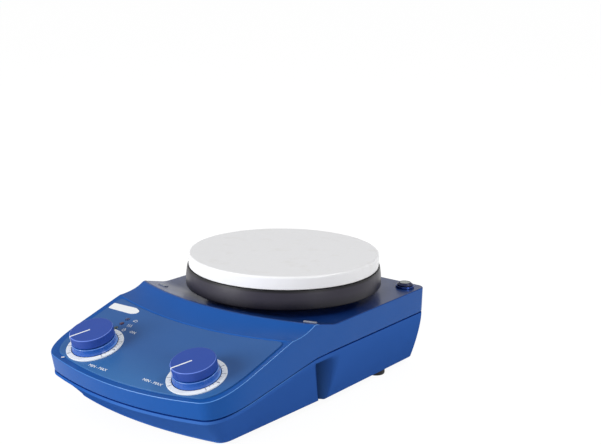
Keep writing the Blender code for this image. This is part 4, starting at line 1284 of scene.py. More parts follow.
def colour_setting(name, about, default):
    return FloatVectorProperty(name=name, description=about, subtype="COLOR", min=0, max=1,
                               default=default)


def factor_setting(name, about, least, default):
    return FloatProperty(name=name, description=about, subtype="FACTOR", min=least, max=1,
                         default=default)


def length_setting(name, about, default):
    return FloatProperty(name=name, description=about, unit="LENGTH", precision=5, default=default)


def power_setting(name, about, default):
    return FloatProperty(name=name, description=about, unit="POWER", min=0, default=default)


class HousingLook(bpy.types.PropertyGroup):
    """Finish of the two moulded shells."""
    colour: colour_setting("Shell colour", "Colour of the upper shell", screen(26, 88, 168))
    # Painted highlight colour for the shells' rounded edges
    edge: colour_setting("Edge colour", "Colour of the shells' rubbed edges", screen(100, 160, 232))
    # Painted shade colour for the deck and round the tray
    deck: colour_setting("Deck colour", "Colour of the heat-darkened deck", screen(10, 31, 88))
    base: colour_setting("Base colour", "Colour of the lower shell", screen(54, 100, 180))
    # Painted shade colour for the shut line, dark edges and faces turned down
    seam: colour_setting("Seam colour", "Colour in the shut line and along dark edges", screen(16, 50, 124))
    # Painted shade colour deep in the finger scoops
    hollow: colour_setting("Scoop colour", "Colour deep in the finger scoops", screen(6, 16, 56))
    roughness: factor_setting("Shell roughness", "How matt the shells are", 0.1, 0.34)
    grain: length_setting("Grain size", "Size of the moulded grain", 0.45 * mm)


class ConsoleLook(bpy.types.PropertyGroup):
    """Finish of the console film and of its print."""
    colour: colour_setting("Film colour", "Colour of the console film", screen(46, 92, 154))
    # Paler colour of the painted reflection along the film's front
    worn: colour_setting("Worn colour", "Paler colour of the film along its front", screen(60, 118, 178))
    ink: colour_setting("Ink colour", "Colour of the printed marks", screen(250, 252, 254))
    roughness: factor_setting("Film roughness", "How matt the film is", 0.1, 0.36)


class DialLook(bpy.types.PropertyGroup):
    """Finish and marks of the two dials."""
    colour: colour_setting("Knob colour", "Colour of the knobs", screen(44, 76, 162))
    collar: colour_setting("Collar colour", "Colour of the collar under a knob", screen(34, 90, 180))
    ring: colour_setting("Scale colour", "Colour of the scale rings", screen(244, 248, 252))
    pointer_width: length_setting("Pointer width", "Width of the line on a knob", 1.05 * mm)
    numeral_height: length_setting("Numeral height", "Height of the scale's numerals", 1.7 * mm)
    numerals: IntProperty(name="Numerals", description="Numerals round each scale", min=2, max=12,
                          default=10)


class PlateLook(bpy.types.PropertyGroup):
    """Finish of the hot plate and what carries it."""
    colour: colour_setting("Plate colour", "Colour of the ceramic plate", screen(249, 249, 251))
    tray: colour_setting("Tray colour", "Colour of the tray round the plate", screen(48, 45, 57))
    roughness: factor_setting("Plate roughness", "How matt the glaze is", 0.05, 0.16)


class StageLook(bpy.types.PropertyGroup):
    """Floor and light."""
    floor: colour_setting("Floor colour", "Colour of the floor", (0.6, 0.6, 0.6))
    ambient: FloatProperty(name="Ambient light", description="Strength of the light from all round",
                           min=0, max=2, default=0.47)
    key: power_setting("Key lamp", "Power of the lamp overhead", 6)
    fill: power_setting("Fill lamp", "Power of the lamp at the front left", 25.5)
    side: power_setting("Side lamp", "Power of the lamp on the right", 8)


class STIRRER_OT_lower_shell(bpy.types.Operator):
    """Build the lower shell with its scoops, vents and rear openings"""
    bl_idname = "stirrer.lower_shell"
    bl_label = "Lower Shell"

    def execute(self, context):
        look = context.scene.stirrer_housing
        shell = cut(lower_solid(), lower_hollow())
        low, shoulder = table_gap + base_edge, board_height - seat_gap
        tip = board_height + board_thickness + board_peg_reach
        board_post = [(0, low), (board_post_radius, low), (board_post_radius, shoulder),
                      (board_peg_radius, shoulder), (board_peg_radius, tip), (0, tip)]
        shell = join(shell, gather([
            many(posts_at(), lambda: rod(post_radius, low, post_joint_height)),
            many(board_posts_at(), lambda: lathe(board_post, 24)),
            many(bracket_posts_at(), lambda: rod(bracket_post_radius, low, bracket_seat - seat_gap))]))
        shell = cut(shell, scoops(0))
        clear = screw_radius + seat_gap
        head = screw_head_radius + seat_gap
        screw_way = [(0, 0), (head, 0), (head, screw_sink), (clear, screw_sink),
                     (clear, post_joint_height + overrun), (0, post_joint_height + overrun)]
        openings = [rear_box(across, inlet_level, enlarged(half, seat_gap), -wall - overrun, overrun)
                    for across, half in ((inlet_across, inlet_body_half), (switch_across, switch_body_half))]
        shell = cut(shell, gather(floor_vents() + rear_vents() + openings + [
            many(posts_at(), lambda: lathe(screw_way, 24)),
            many(feet_at(), lambda: rod(foot_peg_radius + seat_gap, 0, floor_top + overrun)),
            many(bracket_posts_at(), lambda: rod(bracket_pilot_radius, floor_top,
                                                 bracket_seat + overrun))]))
        piece("lower_shell", shell, base_plastic(look), "housing", "body", "lower_housing",
              sharp=20 * degree)
        return {"FINISHED"}


class STIRRER_OT_upper_shell(bpy.types.Operator):
    """Build the upper shell with its console bed, ridge and deck"""
    bl_idname = "stirrer.upper_shell"
    bl_label = "Upper Shell"

    def execute(self, context):
        look = context.scene.stirrer_housing
        shell = join(upper_solid(0, 0, seam_gap / 2, crest_edge, seam_upper_edge),
                     many(posts_at(), lambda: rod(post_radius, post_joint_height + seat_gap,
                                                  seam_height + seam_gap)))
        hollow = upper_solid(wall, wall, -lip_height, crest_edge, seam_upper_edge)
        shell = cut(shell, cut(hollow, many(posts_at(), lambda: rod(post_radius, 0, ridge_height))))
        rim = console_outline(rim_edge, 0)
        bed = console_outline(rim_width - film_margin, rim_edge)
        shell = cut(shell, loft([console_slice(bed, rim_depth), console_slice(rim, 0),
                                 console_slice(rim, -overrun)]))
        shell = cut(shell, gather([
            console_ways(wall),
            moved(rod(deck_bore, ceiling - overrun, deck_height + overrun, 96), y=plate_axis.y),
            moved(rod(rod_sleeve_radius + seat_gap, ceiling - overrun, deck_height + overrun, 48),
                  rod_across, rear_y - rod_inset),
            many(studs_at(), lambda: rod(stud_radius + seat_gap, ceiling - overrun,
                                         deck_height + overrun)),
            many(posts_at(), lambda: rod(screw_radius + seat_gap, post_joint_height,
                                         post_joint_height + screw_grip + seat_gap))]))
        piece("upper_shell", shell, shell_plastic(look), "housing", "body", "upper_housing",
              sharp=20 * degree)
        steel = metal("rating_plate_metal", screen(196, 198, 202), 0.35, (0.05, 1, 1))
        mesh = soften(slab(rectangle(*rating_half, rating_corner), -seat_gap, rating_thickness),
                      rating_edge, segments=2)
        piece("rating_plate", mesh, steel, "housing", "steel",
              matrix=facing_back(rating_place[0], rating_place[1], -seat_gap))
        return {"FINISHED"}


class STIRRER_OT_console(bpy.types.Operator):
    """Lay the film in the console, with its printed marks, name plate and lamps"""
    bl_idname = "stirrer.console"
    bl_label = "Console"

    def execute(self, context):
        look = context.scene.stirrer_console
        slices = [(rim_depth - film_sink, 0), (film_drop + film_edge, 0),
                  (film_drop + film_edge / 3, film_edge / 3), (film_drop, film_edge)]
        film = loft([console_slice(console_outline(rim_width + inset, rim_edge + film_margin + inset), drop)
                     for drop, inset in slices])
        film = cut(film, console_ways(0))
        paint = plastic("film_finish", look.colour, look.roughness, 0.25 * mm, 0.004 * mm)
        # Painted reflection: the film paler towards its front.
        paint.wash(paint.limit(paint.axes()[1] - front_y, *film_sheen_runs, 0.6, 0), look.worn)
        piece("console_film", film, paint.material, "housing", "film", "panel_film", sharp=20 * degree)
        ink = printed("film_ink", look.ink)
        piece("console_print", self.marks(), ink, "housing", "dial_white", weighted=False)
        corners = [(x, run / math.cos(console_tilt), name_plate_corner) for x, run in name_plate]
        plate = slab(rounded(corners, closed=True), -ink_sink, name_plate_height)
        piece("name_plate", soften(plate, name_plate_edge, segments=2),
              printed("name_plate_finish", screen(238, 240, 243), 0.3), "housing", "dial_white",
              matrix=console_frame(0, 0))
        self.lamps()
        return {"FINISHED"}

    def marks(self):
        """Generic marks: heat, stirring and power beside the lamps, and the range by each dial."""
        low, high = -ink_sink, ink_height
        rows = [(lamp_run + step * lamp_pitch) / math.cos(console_tilt) for step in (-1, 0, 1)]
        loop = arc((-mark_across, rows[0]), power_mark_radius, 120 * degree, 420 * degree, 20)
        stem = [(-mark_across, rows[0]), (-mark_across, rows[0] + power_mark_stem)]
        parts = [strokes([loop, stem], stroke, low, high)]
        parts += [self.wave(-mark_across + step * wave_pitch, rows[1]) for step in (-1, 0, 1)]
        ring = arc((-mark_across, rows[2]), stir_mark_radius, -60 * degree, 210 * degree, 18)
        left, right = [(ring[-1][0] + x, ring[-1][1] + y) for x, y in stir_mark_barbs]
        parts.append(strokes([ring, [left, ring[-1], right]], stroke, low, high))
        for across, run, words in legends:
            place = (across, run / math.cos(console_tilt))
            parts.append(lettering(words, legend_height, low, high, place))
        across, along = stop_mark[0], stop_mark[1] / math.cos(console_tilt)
        half_x, half_y = stop_mark_half
        bar = [(across - half_x, along - half_y), (across + half_x, along + half_y)]
        parts.append(strokes([bar], stop_mark_width, low, high))
        return turned(gather(parts), console_frame(0, 0))

    def wave(self, across, run):
        line = [(across + wave_swing * math.sin(k / wave_steps * 2 * math.pi),
                 run + (k / wave_steps - 0.5) * wave_height) for k in range(wave_steps + 1)]
        return strokes([line], stroke, -ink_sink, ink_height)

    def lamps(self):
        base = -console_skin - seat_gap
        flange = lamp_radius + lamp_flange
        dome = bezier((lamp_radius, 0), (lamp_radius, lamp_dome), (0, lamp_dome), 6)
        profile = [(0, base - lamp_tail), (flange, base - lamp_tail), (flange, base), (lamp_radius, base)]
        lamps = (("stir_lamp", "lamp_green", -1, screen(24, 58, 66)),
                 ("power_lamp", "lamp_red", 0, screen(64, 30, 66)),
                 ("heat_lamp", "lamp_blue", 1, screen(30, 44, 96)))
        for name, slot, step, colour in lamps:
            piece(f"{name}_lens", lathe(profile + dome, 32), lens(f"{name}_tint", colour), "housing", slot,
                  name, matrix=console_frame(-lamp_across, lamp_run + step * lamp_pitch))


class STIRRER_OT_dials(bpy.types.Operator):
    """Build both dials: numbered scale ring, stepped knob and its white pointer line"""
    bl_idname = "stirrer.dials"
    bl_label = "Dials"

    def execute(self, context):
        look = context.scene.stirrer_dials
        ring_paint = printed("scale_ring_plastic", look.ring, 0.4)
        ink = printed("scale_ink", screen(52, 60, 96))
        paint = plastic("knob_plastic", look.colour, 0.36, 0.3 * mm, 0.006 * mm)
        # Painted highlights on the rounded edges of the knob cap and of its collar.
        polished_edges(paint, screen(112, 140, 226))
        knob_paint = paint.material
        paint = plastic("collar_gloss", look.collar, 0.22, 0.3 * mm, 0.004 * mm, 0.5)
        polished_edges(paint, screen(104, 150, 224))
        collar_paint = paint.material
        line_paint = printed("pointer_ink", screen(236, 240, 246))
        for name, side in (("heat", -1), ("speed", 1)):
            place = console_frame(side * dial_across, dial_run)
            low, high = seat_gap / 3, seat_gap + ring_thickness
            profile = rounded([(ring_bore, low), (ring_radius, low), (ring_radius, high, ring_edge),
                               (ring_bore, high, ring_edge), (ring_bore, low)])
            piece(f"{name}_scale_ring", lathe(profile[:-1], 128), ring_paint, "housing", "dial_white",
                  f"{name}_dial_ring", matrix=place)
            piece(f"{name}_scale_marks", self.scale(look, high), ink, "housing", "dial_white",
                  matrix=place, weighted=False)
            body = f"{name}_dial"
            cap_profile, collar_profile = self.knob_profiles()
            piece(f"{name}_knob_cap", lathe(cap_profile, 128), knob_paint, body, "knob", f"{name}_knob",
                  matrix=place)
            piece(f"{name}_knob_collar", lathe(collar_profile, 128), collar_paint, body, "knob", matrix=place)
            piece(f"{name}_pointer", self.pointer(look.pointer_width), line_paint, body, "dial_white",
                  matrix=place @ Matrix.Rotation(pointer_turn, 4, "Z"))
        return {"FINISHED"}

    def knob_profiles(self):
        """Profiles of the cap and of the collar that it stands on."""
        bore = spindle_radius + seat_gap
        joint = knob_collar_top + knob_joint
        knob = rounded([(bore, joint), (knob_groove_radius, joint), (knob_groove_radius, knob_cap_base),
                        (knob_radius, knob_cap_base, knob_foot_edge), (knob_radius, knob_height, knob_edge),
                        (0, knob_height), (0, knob_bore_top), (bore, knob_bore_top), (bore, joint)], 6)
        collar = rounded([(knob_recess_radius, knob_lift), (knob_skirt_radius, knob_lift, knob_skirt_edge),
                          (knob_collar_radius, knob_lift + knob_skirt_height, knob_skirt_sweep),
                          (knob_collar_radius, knob_collar_top, knob_collar_edge), (bore, knob_collar_top),
                          (bore, knob_recess_top), (knob_recess_radius, knob_recess_top),
                          (knob_recess_radius, knob_lift)], 6)
        return knob[:-1], collar[:-1]

    def pointer(self, width):
        """Line of ink from the middle of the knob over its edge and down its side."""
        under, over = [rounded([(pointer_start, knob_height + lift),
                                (knob_radius + lift, knob_height + lift, knob_edge),
                                (knob_radius + lift, knob_cap_base + pointer_start)], 6)
                       for lift in (0, pointer_lift)]
        return loft([[Vector((x, side * width / 2, z)) for x, z in over + under[::-1]]
                     for side in (-1, 1)])

    def scale(self, look, top):
        """Ticks and numerals round a scale ring, from its lowest stop round to its highest."""
        parts = []
        low, high = top - ink_sink, top + ink_height
        for k in range(tick_count):
            turn = pointer_turn - dial_sweep * k / (tick_count - 1)
            inner = ring_bore + tick_inset
            outer = inner + (short_tick if k % ticks_to_a_long_one else long_tick)
            out = Vector((math.cos(turn), math.sin(turn)))
            parts.append(strokes([[out * inner, out * outer]], tick_width, low, high))
        radius = ring_radius - numeral_inset
        for number in range(look.numerals):
            turn = pointer_turn - dial_sweep * number / (look.numerals - 1)
            place = (radius * math.cos(turn), radius * math.sin(turn))
            parts.append(lettering(str(number), look.numeral_height, low, high, place, turn - math.pi / 2))
        return gather(parts)


class STIRRER_OT_hot_plate(bpy.types.Operator):
    """Build the ceramic plate, its tray, the neck under it and the two pads on the ramp"""
    bl_idname = "stirrer.hot_plate"
    bl_label = "Hot Plate"

    def execute(self, context):
        look = context.scene.stirrer_plate
        on_axis = Matrix.Translation(plate_axis)
        low = tray_high.z + seat_gap
        top = plate_high.z
        spigot = tray_radius - tray_lip - tray_wall - seat_gap
        plate = lathe(rounded([
            (0, low - plate_spigot), (spigot, low - plate_spigot), (spigot, low),
            (plate_radius, low, plate_edge / 2), (plate_radius, top, plate_edge), (0, top)], 8), 160)

        def bolt_ways():
            return many(studs_at(), lambda: rod(stud_radius + seat_gap, deck_height - overrun, low))

        plate = cut(turned(plate, on_axis), bolt_ways())
        piece("ceramic_plate", plate, glazed("plate_glaze", look.colour, look.roughness), "housing",
              "plate_coating", "top_plate", sharp=20 * degree)
        foot, lip = tray_low.z, tray_high.z
        inner = tray_radius - tray_lip - tray_wall
        bore = sensor_radius + seat_gap
        barrel = bezier((tray_radius, foot + tray_foot), (tray_radius + tray_bulge, (foot + lip) / 2),
                        (tray_radius - tray_lip, lip), 20)
        profile = [(bore, foot)] + arc((tray_radius - tray_foot, foot + tray_foot), tray_foot,
                                       -90 * degree, 0, 6)[:-1] + barrel + [
            (tray_radius - tray_lip - tray_rim, lip), (inner, lip), (inner, foot + tray_floor),
            (bore, foot + tray_floor)]
        tray = cut(turned(lathe(profile, 160), on_axis), bolt_ways())
        piece("plate_barrel", tray, enamelled("tray_enamel", look.tray, 0.36, foot, lip), "housing",
              "tray_coating", "plate_tray", sharp=24 * degree)
        neck = lathe(rounded([
            (neck_bore, deck_height + seat_gap), (neck_radius, deck_height + seat_gap, neck_edge),
            (neck_radius, foot - seat_gap, neck_edge), (neck_bore, foot - seat_gap),
            (neck_bore, deck_height + seat_gap)])[:-1], 128)
        neck = cut(turned(neck, on_axis), bolt_ways())
        piece("plate_collar", neck, moulded("collar_plastic", screen(22, 22, 26), 0.5), "housing",
              "black_plastic", "plate_neck")
        pad_paint = printed("pad_finish", screen(150, 156, 170), 0.4)
        for name, across in pad_places:
            normal = surface_normal(across, pad_run)
            origin = Vector((across, front_y + pad_run, surface(across, pad_run)))
            square = normal.to_track_quat("Z", "Y").to_matrix().to_4x4()
            pad = soften(slab(rectangle(*pad_half, pad_corner), -pad_sink, pad_height), pad_edge, segments=2)
            piece(name, pad, pad_paint, "housing", "steel", matrix=Matrix.Translation(origin) @ square)
        return {"FINISHED"}


class STIRRER_OT_feet(bpy.types.Operator):
    """Build the rubber feet and the cross-head screws under the body"""
    bl_idname = "stirrer.feet"
    bl_label = "Feet and Screws"

    def execute(self, context):
        top = table_gap - seat_gap
        tip = floor_top + foot_peg_reach
        profile = rounded([(0, foot_dish_depth), (foot_dish_radius, foot_dish_depth, foot_dish_edge),
                           (foot_dish_rim, 0, foot_dish_edge), (foot_radius, 0, foot_edge),
                           (foot_radius, top, foot_top_edge), (foot_peg_radius, top),
                           (foot_peg_radius, tip, foot_top_edge), (0, tip)], 5)
        paint = rubber("foot_rubber", screen(28, 28, 32))
        for corner, (x, y) in zip(corner_names, feet_at()):
            piece(f"{corner}_foot_pad", moved(lathe(profile, 48), x, y), paint, "housing", "rubber",
                  f"{corner}_foot")
        steel = metal("screw_steel", screen(186, 188, 192), 0.3, (1, 1, 0.1))
        head = screw_sink - seat_gap
        low, tip = head - screw_head_height, post_joint_height + screw_grip
        profile = rounded([(0, low), (screw_head_radius, low, screw_head_edge), (screw_head_radius, head),
                           (screw_radius, head), (screw_radius, tip - screw_point), (screw_radius / 3, tip),
                           (0, tip)], 5)
        for corner, (x, y) in zip(corner_names, posts_at()):
            screw = lathe(profile, 32)
            for half_x, half_y in (cross_half, cross_half[::-1]):
                screw = cut(screw, block((-half_x, -half_y, low - overrun),
                                         (half_x, half_y, low + cross_depth)))
            piece(f"{corner}_screw_cross", moved(screw, x, y), steel, "housing", "steel",
                  f"{corner}_screw")
        return {"FINISHED"}


class STIRRER_OT_inlet(bpy.types.Operator):
    """Build the mains inlet with its fuse drawer, and the rocker switch beside it"""
    bl_idname = "stirrer.inlet"
    bl_label = "Inlet and Switch"

    def execute(self, context):
        black = moulded("inlet_plastic", screen(30, 30, 33), 0.45, 0.3 * mm)
        self.inlet(black)
        self.switch(black)
        return {"FINISHED"}

    def flanged(self, flange_half, corner, body_half, depth):
        """Flange on the rear wall, with the box that reaches through the wall behind it."""
        flange = soften(slab(rectangle(*flange_half, corner), 0, flange_thickness), flange_edge)
        return join(flange, slab(rectangle(*body_half), -depth, flange_thickness / 2))

    def inlet(self, black):
        place = facing_back(inlet_across, inlet_level)
        body = self.flanged(inlet_flange_half, inlet_flange_corner, inlet_body_half, inlet_body_depth)
        half_x, half_y = socket_half
        low, high = socket_lift - half_y, socket_lift + half_y
        shoulder, roof = high - socket_chamfer, half_x - socket_chamfer
        mouth = rounded([(*corner, mouth_corner) for corner in (
            (-half_x, low), (half_x, low), (half_x, shoulder), (roof, high), (-roof, high),
            (-half_x, shoulder))], closed=True)
        pin_floor = flange_thickness - socket_depth
        outside = flange_thickness + overrun
        body = cut(body, slab(mouth, pin_floor, outside))
        drawer_floor = flange_thickness - drawer_depth
        slot = slab(rectangle(*enlarged(drawer_half, drawer_play)), drawer_floor - seat_gap, outside)
        body = cut(body, moved(slot, y=-drawer_drop))
        places = [(-pin_spread, socket_lift), (pin_spread, socket_lift), (0, socket_lift + pin_stagger)]
        pin_way = rectangle(*enlarged(pin_half, seat_gap))
        body = cut(body, many(places, lambda: slab(pin_way, -inlet_body_depth - overrun,
                                                   pin_floor + overrun)))
        piece("inlet_body", body, black, "housing", "black_plastic", "power_inlet", matrix=place)
        front = flange_thickness + drawer_grip
        drawer = soften(moved(slab(rectangle(*drawer_half), drawer_floor, front), y=-drawer_drop),
                        drawer_edge)
        fuse_z = drawer_floor + fuse_inset
        trough = fuse_radius + seat_gap
        half = fuse_length / 2
        floor = -drawer_drop - drawer_half[1] + drawer_skin
        drawer = cut(drawer, block((-half - seat_gap, floor, fuse_z - trough),
                                   (half + seat_gap, -drawer_drop + drawer_half[1] + overrun,
                                    fuse_z + trough)))
        notch = moved(slab(rectangle(*notch_half, notch_corner), front - notch_depth, front + overrun),
                      y=-drawer_drop + notch_rise)
        piece("fuse_tray", cut(drawer, notch), black, "drawer", "black_plastic", "fuse_drawer", matrix=place)

    def switch(self, black):
        place = facing_back(switch_across, inlet_level)
        body = self.flanged(switch_flange_half, switch_flange_corner, switch_body_half, switch_body_depth)
        body = cut(body, slab(rectangle(*switch_cavity_half, switch_cavity_corner), -switch_cavity_depth,
                              flange_thickness + overrun))
        pivot = Matrix.Translation((switch_across, rear_y - rocker_pivot_depth, inlet_level))
        axle = Matrix.Rotation(math.pi / 2, 4, "Y")
        reach = rocker_half + trunnion_reach
        hole = turned(rod(trunnion_radius + seat_gap, -reach - seat_gap, reach + seat_gap), pivot @ axle)
        body = cut(turned(body, place), hole)
        piece("switch_bezel", body, black, "housing", "black_plastic", "switch_frame")
        up = arc((0, 0), rocker_radius, -rocker_low, rocker_raised, 12)
        down = arc((0, 0), rocker_radius, math.pi - rocker_pressed, math.pi + rocker_low, 12)
        face = bezier(up[-1], (0, rocker_waist - rocker_dip), down[0], 14)
        profile = up + face[1:-1] + down
        rocker = soften(loft([[Vector((x, out, height)) for height, out in profile]
                              for x in (-rocker_half, rocker_half)]), rocker_edge, 50 * degree)
        rocker = join(rocker, turned(rod(trunnion_radius, -reach, reach), axle))
        piece("rocker_cap", rocker, moulded("rocker_plastic", screen(24, 24, 27), 0.35, 0.3 * mm), "rocker",
              "black_plastic", "switch_rocker", matrix=pivot)
        ink = printed("switch_ink", screen(226, 228, 230))
        for name, share, line in (("on", 0.28, [(0, -on_mark_half), (0, on_mark_half)]),
                                  ("off", 0.72, arc((0, 0), off_mark_radius, 0, 360 * degree, 20))):
            step = round(share * (len(face) - 1))
            (height, out), (after, outer) = face[step], face[step + 1]
            slope = Vector((0, outer - out, after - height)).normalized()
            normal = Vector((0, -slope.z, slope.y))
            normal = normal if normal.y > 0 else -normal
            frame_axes = Matrix((slope.cross(normal), slope, normal)).transposed().to_4x4()
            at = pivot @ Matrix.Translation((0, out, height)) @ frame_axes
            piece(f"switch_{name}_mark", strokes([line], switch_mark_stroke, -ink_sink, ink_height), ink,
                  "rocker", "black_plastic", matrix=at, weighted=False)


class STIRRER_OT_rod_socket(bpy.types.Operator):
    """Build the support rod socket and its plug"""
    bl_idname = "stirrer.rod_socket"
    bl_label = "Rod Socket"

    def execute(self, context):
        place = Matrix.Translation((rod_across, rear_y - rod_inset, deck_height + seat_gap))
        low = -rod_sleeve_length
        boss = lathe(rounded([
            (0, low), (rod_sleeve_radius, low, rod_boss_edge), (rod_sleeve_radius, 0), (rod_boss_radius, 0),
            (rod_boss_radius, rod_boss_height, rod_boss_edge),
            (rod_bore_radius, rod_boss_height, rod_bore_edge),
            (rod_bore_radius, rod_boss_height - rod_bore_depth), (0, rod_boss_height - rod_bore_depth)]), 64)
        piece("rod_boss", boss, metal("boss_steel", screen(58, 84, 158), 0.2), "housing", "steel",
              "rod_socket", matrix=place)
        base = rod_boss_height + seat_gap
        top = base + plug_cap_height
        seat = top - plug_disc_sink
        plug = lathe(rounded([
            (0, base - plug_stem_length), (plug_stem_radius, base - plug_stem_length),
            (plug_stem_radius, base), (plug_cap_radius, base), (plug_cap_radius, base + plug_rim_height),
            (plug_disc_radius + plug_lip, top, plug_lip_edge), (plug_disc_radius, top),
            (plug_disc_radius, seat), (0, seat)]), 64)
        piece("rod_plug", plug, moulded("plug_plastic", screen(18, 30, 74), 0.25, 0.3 * mm, shine=0.5),
              "plug", "knob", "socket_plug", matrix=place)
        disc_low, disc_high, reach = seat + disc_low_gap, top - disc_high_gap, plug_disc_radius - disc_play
        disc = lathe(rounded([(0, disc_low), (reach, disc_low), (reach, disc_high, disc_edge),
                              (0, disc_high)]), 64)
        piece("plug_disc", disc, metal("disc_steel", screen(206, 212, 206), 0.2), "plug", "knob",
              matrix=place)
        return {"FINISHED"}


class STIRRER_OT_inner_parts(bpy.types.Operator):
    """Give the parts that stay as modelled their finishes"""
    bl_idname = "stirrer.inner_parts"
    bl_label = "Inner Parts"

    def execute(self, context):
        steel = metal("zinc_steel", screen(178, 180, 184), 0.34)
        brass = metal("turned_brass", screen(214, 182, 112), 0.3)
        finishes = {
            steel: ("heat_nut", "speed_nut", "heat_regulator", "speed_regulator", "heat_shaft",
                    "speed_shaft", "motor_can", "motor_bracket", "magnet_carrier", "plate_sensor",
                    "plate_bolt_1", "plate_bolt_2", "plate_bolt_3", "plate_bolt_4", "left_motor_screw",
                    "right_motor_screw", "socket_nut"),
            brass: ("line_pin", "neutral_pin", "earth_pin", "motor_bush_lower", "motor_bush_upper"),
            metal("winding_copper", screen(196, 120, 82), 0.35, (1, 1, 8)): ("motor_armature",),
            metal("heatsink_aluminium", screen(168, 172, 178), 0.4, (1, 0.05, 1)): ("board_heatsink",),
            moulded("motor_plastic", screen(32, 32, 36), 0.5): ("motor_end_cap",),
            speckled("ferrite", screen(48, 47, 50), screen(70, 68, 70), 0.4, 0.6, 0.5 * mm, 0.6):
                ("field_magnets", "drive_magnet_north", "drive_magnet_south"),
            speckled("mica_sheet", screen(176, 150, 112), screen(206, 184, 146), 0.4, 0.62, 3 * mm, 0.5):
                ("heater_element",),
            speckled("fibre_pad", screen(214, 210, 200), screen(236, 232, 224), 0.35, 0.65, 0.9 * mm, 0.9,
                     0.2 * mm): ("insulation_disc",),
            speckled("fuse_glass", screen(206, 214, 212), screen(226, 232, 230), 0.4, 0.6, 2 * mm, 0.1):
                ("fuse",),
            circuit("solder_mask", screen(22, 92, 54), screen(60, 128, 78)): ("control_board",),
        }
        for material, names in finishes.items():
            for name in names:
                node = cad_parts[name]
                node.data.materials.clear()
                node.data.materials.append(material)
        return {"FINISHED"}


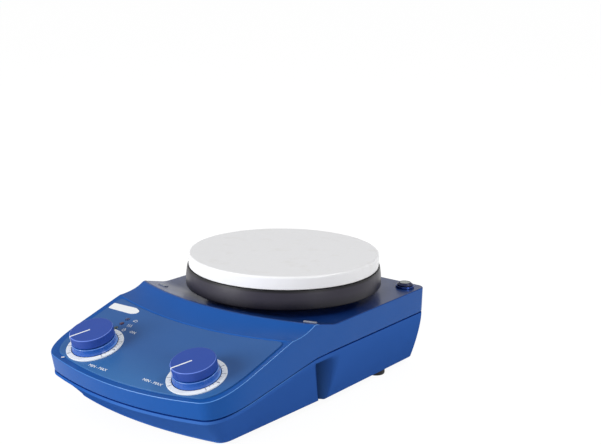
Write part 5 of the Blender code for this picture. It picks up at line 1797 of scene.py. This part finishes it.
class STIRRER_OT_stage(bpy.types.Operator):
    """Set the floor, the lamps and the camera"""
    bl_idname = "stirrer.stage"
    bl_label = "Stage"

    def execute(self, context):
        look = context.scene.stirrer_stage
        context.scene.view_settings.view_transform = "Standard"
        self.floor(look)
        self.surroundings(look)
        for name, (place, size) in light_places.items():
            self.lamp(f"{name}_lamp", place, size, getattr(look, name))
        self.camera(context)
        return {"FINISHED"}

    def floor(self, look):
        """Floor that rises to a bowl far out and shows white to the camera, in metal and in glass."""
        mesh = lathe([(0, 0)] + [(radius, max(radius - bowl_start, 0) ** 2 / bowl_spread)
                                 for radius in floor_rings], 96)
        data = bpy.data.meshes.new("floor")
        mesh.to_mesh(data)
        mesh.free()
        thing = put("floor", data)
        paint = Paint("floor_finish", look.floor, 0.9)
        paint.vary(0.01, 200 * mm)
        paint.relief(paint.noise(20 * mm), 0.02 * mm)
        rays = paint.make("ShaderNodeLightPath")
        seen = rays["Is Camera Ray"] + rays["Is Glossy Ray"] + rays["Is Transmission Ray"]
        shine = paint.make("ShaderNodeEmission", (), {"Color": (1, 1, 1, 1), "Strength": floor_glow})
        blend = paint.make("ShaderNodeMixShader", (), {0: seen * floor_glow_share,
                                                       2: shine["Emission"]})
        node = blend["Shader"].socket.node
        paint.links.new(paint.shader.outputs[0], node.inputs[1])
        paint.links.new(node.outputs[0], paint.nodes["Material Output"].inputs["Surface"])
        data.materials.append(paint.material)

    def surroundings(self, look):
        world = bpy.data.worlds.new("studio")
        bpy.context.scene.world = world
        world.use_nodes = True
        light = world.node_tree.nodes["Background"]
        light.inputs["Color"].default_value = (1, 1, 1, 1)
        light.inputs["Strength"].default_value = look.ambient

    def lamp(self, name, place, size, power):
        data = bpy.data.lights.new(name, "AREA")
        data.shape = "SQUARE"
        data.size = size
        data.energy = power
        thing = put(name, data)
        thing.location = place
        aim = Vector(light_target) - Vector(place)
        thing.rotation_euler = aim.to_track_quat("-Z", "Y").to_euler()

    def camera(self, context):
        data = bpy.data.cameras.new("camera")
        data.sensor_fit = "HORIZONTAL"
        data.sensor_width = camera_sensor
        data.lens = camera_lens
        data.shift_y = camera_shift
        data.clip_start, data.clip_end = camera_reach
        thing = put("camera", data)
        pan, pitch, roll = camera_turns
        right = Vector((math.cos(pan), math.sin(pan), 0))
        ahead = Vector((-math.sin(pan) * math.cos(pitch), math.cos(pan) * math.cos(pitch), -math.sin(pitch)))
        up = Vector((-math.sin(pan) * math.sin(pitch), math.cos(pan) * math.sin(pitch), math.cos(pitch)))
        axis_x = right * math.cos(roll) + up * math.sin(roll)
        axis_y = up * math.cos(roll) - right * math.sin(roll)
        turn = Matrix((axis_x, axis_y, -ahead)).transposed().to_4x4()
        thing.matrix_world = Matrix.Translation(camera_place) @ turn
        context.scene.camera = thing


class STIRRER_PT_pieces(bpy.types.Panel):
    """Lists the pieces of the stirrer and their finishes"""
    bl_idname = "STIRRER_PT_pieces"
    bl_label = "Hotplate Stirrer"
    bl_space_type = "VIEW_3D"
    bl_region_type = "UI"
    bl_category = "Hotplate Stirrer"

    def draw(self, context):
        for name in looks:
            group = getattr(context.scene, name)
            for key in group.bl_rna.properties.keys():
                if key not in ("rna_type", "name"):
                    self.layout.prop(group, key)
        for operator in builders:
            self.layout.operator(operator.bl_idname)


looks = {
    "stirrer_housing": HousingLook,
    "stirrer_console": ConsoleLook,
    "stirrer_dials": DialLook,
    "stirrer_plate": PlateLook,
    "stirrer_stage": StageLook,
}

builders = (
    STIRRER_OT_lower_shell,
    STIRRER_OT_upper_shell,
    STIRRER_OT_console,
    STIRRER_OT_dials,
    STIRRER_OT_hot_plate,
    STIRRER_OT_feet,
    STIRRER_OT_inlet,
    STIRRER_OT_rod_socket,
    STIRRER_OT_inner_parts,
    STIRRER_OT_stage,
)


def register():
    for group in looks.values():
        bpy.utils.register_class(group)
    for operator in builders + (STIRRER_PT_pieces,):
        bpy.utils.register_class(operator)
    for name, group in looks.items():
        setattr(bpy.types.Scene, name, PointerProperty(type=group))


def unregister():
    for name in looks:
        delattr(bpy.types.Scene, name)
    for operator in reversed(builders + (STIRRER_PT_pieces,)):
        bpy.utils.unregister_class(operator)
    for group in reversed(list(looks.values())):
        bpy.utils.unregister_class(group)


def main():
    register()
    for operator in builders:
        family, name = operator.bl_idname.split(".")
        getattr(getattr(bpy.ops, family), name)()


if __name__ == "__main__":
    main()
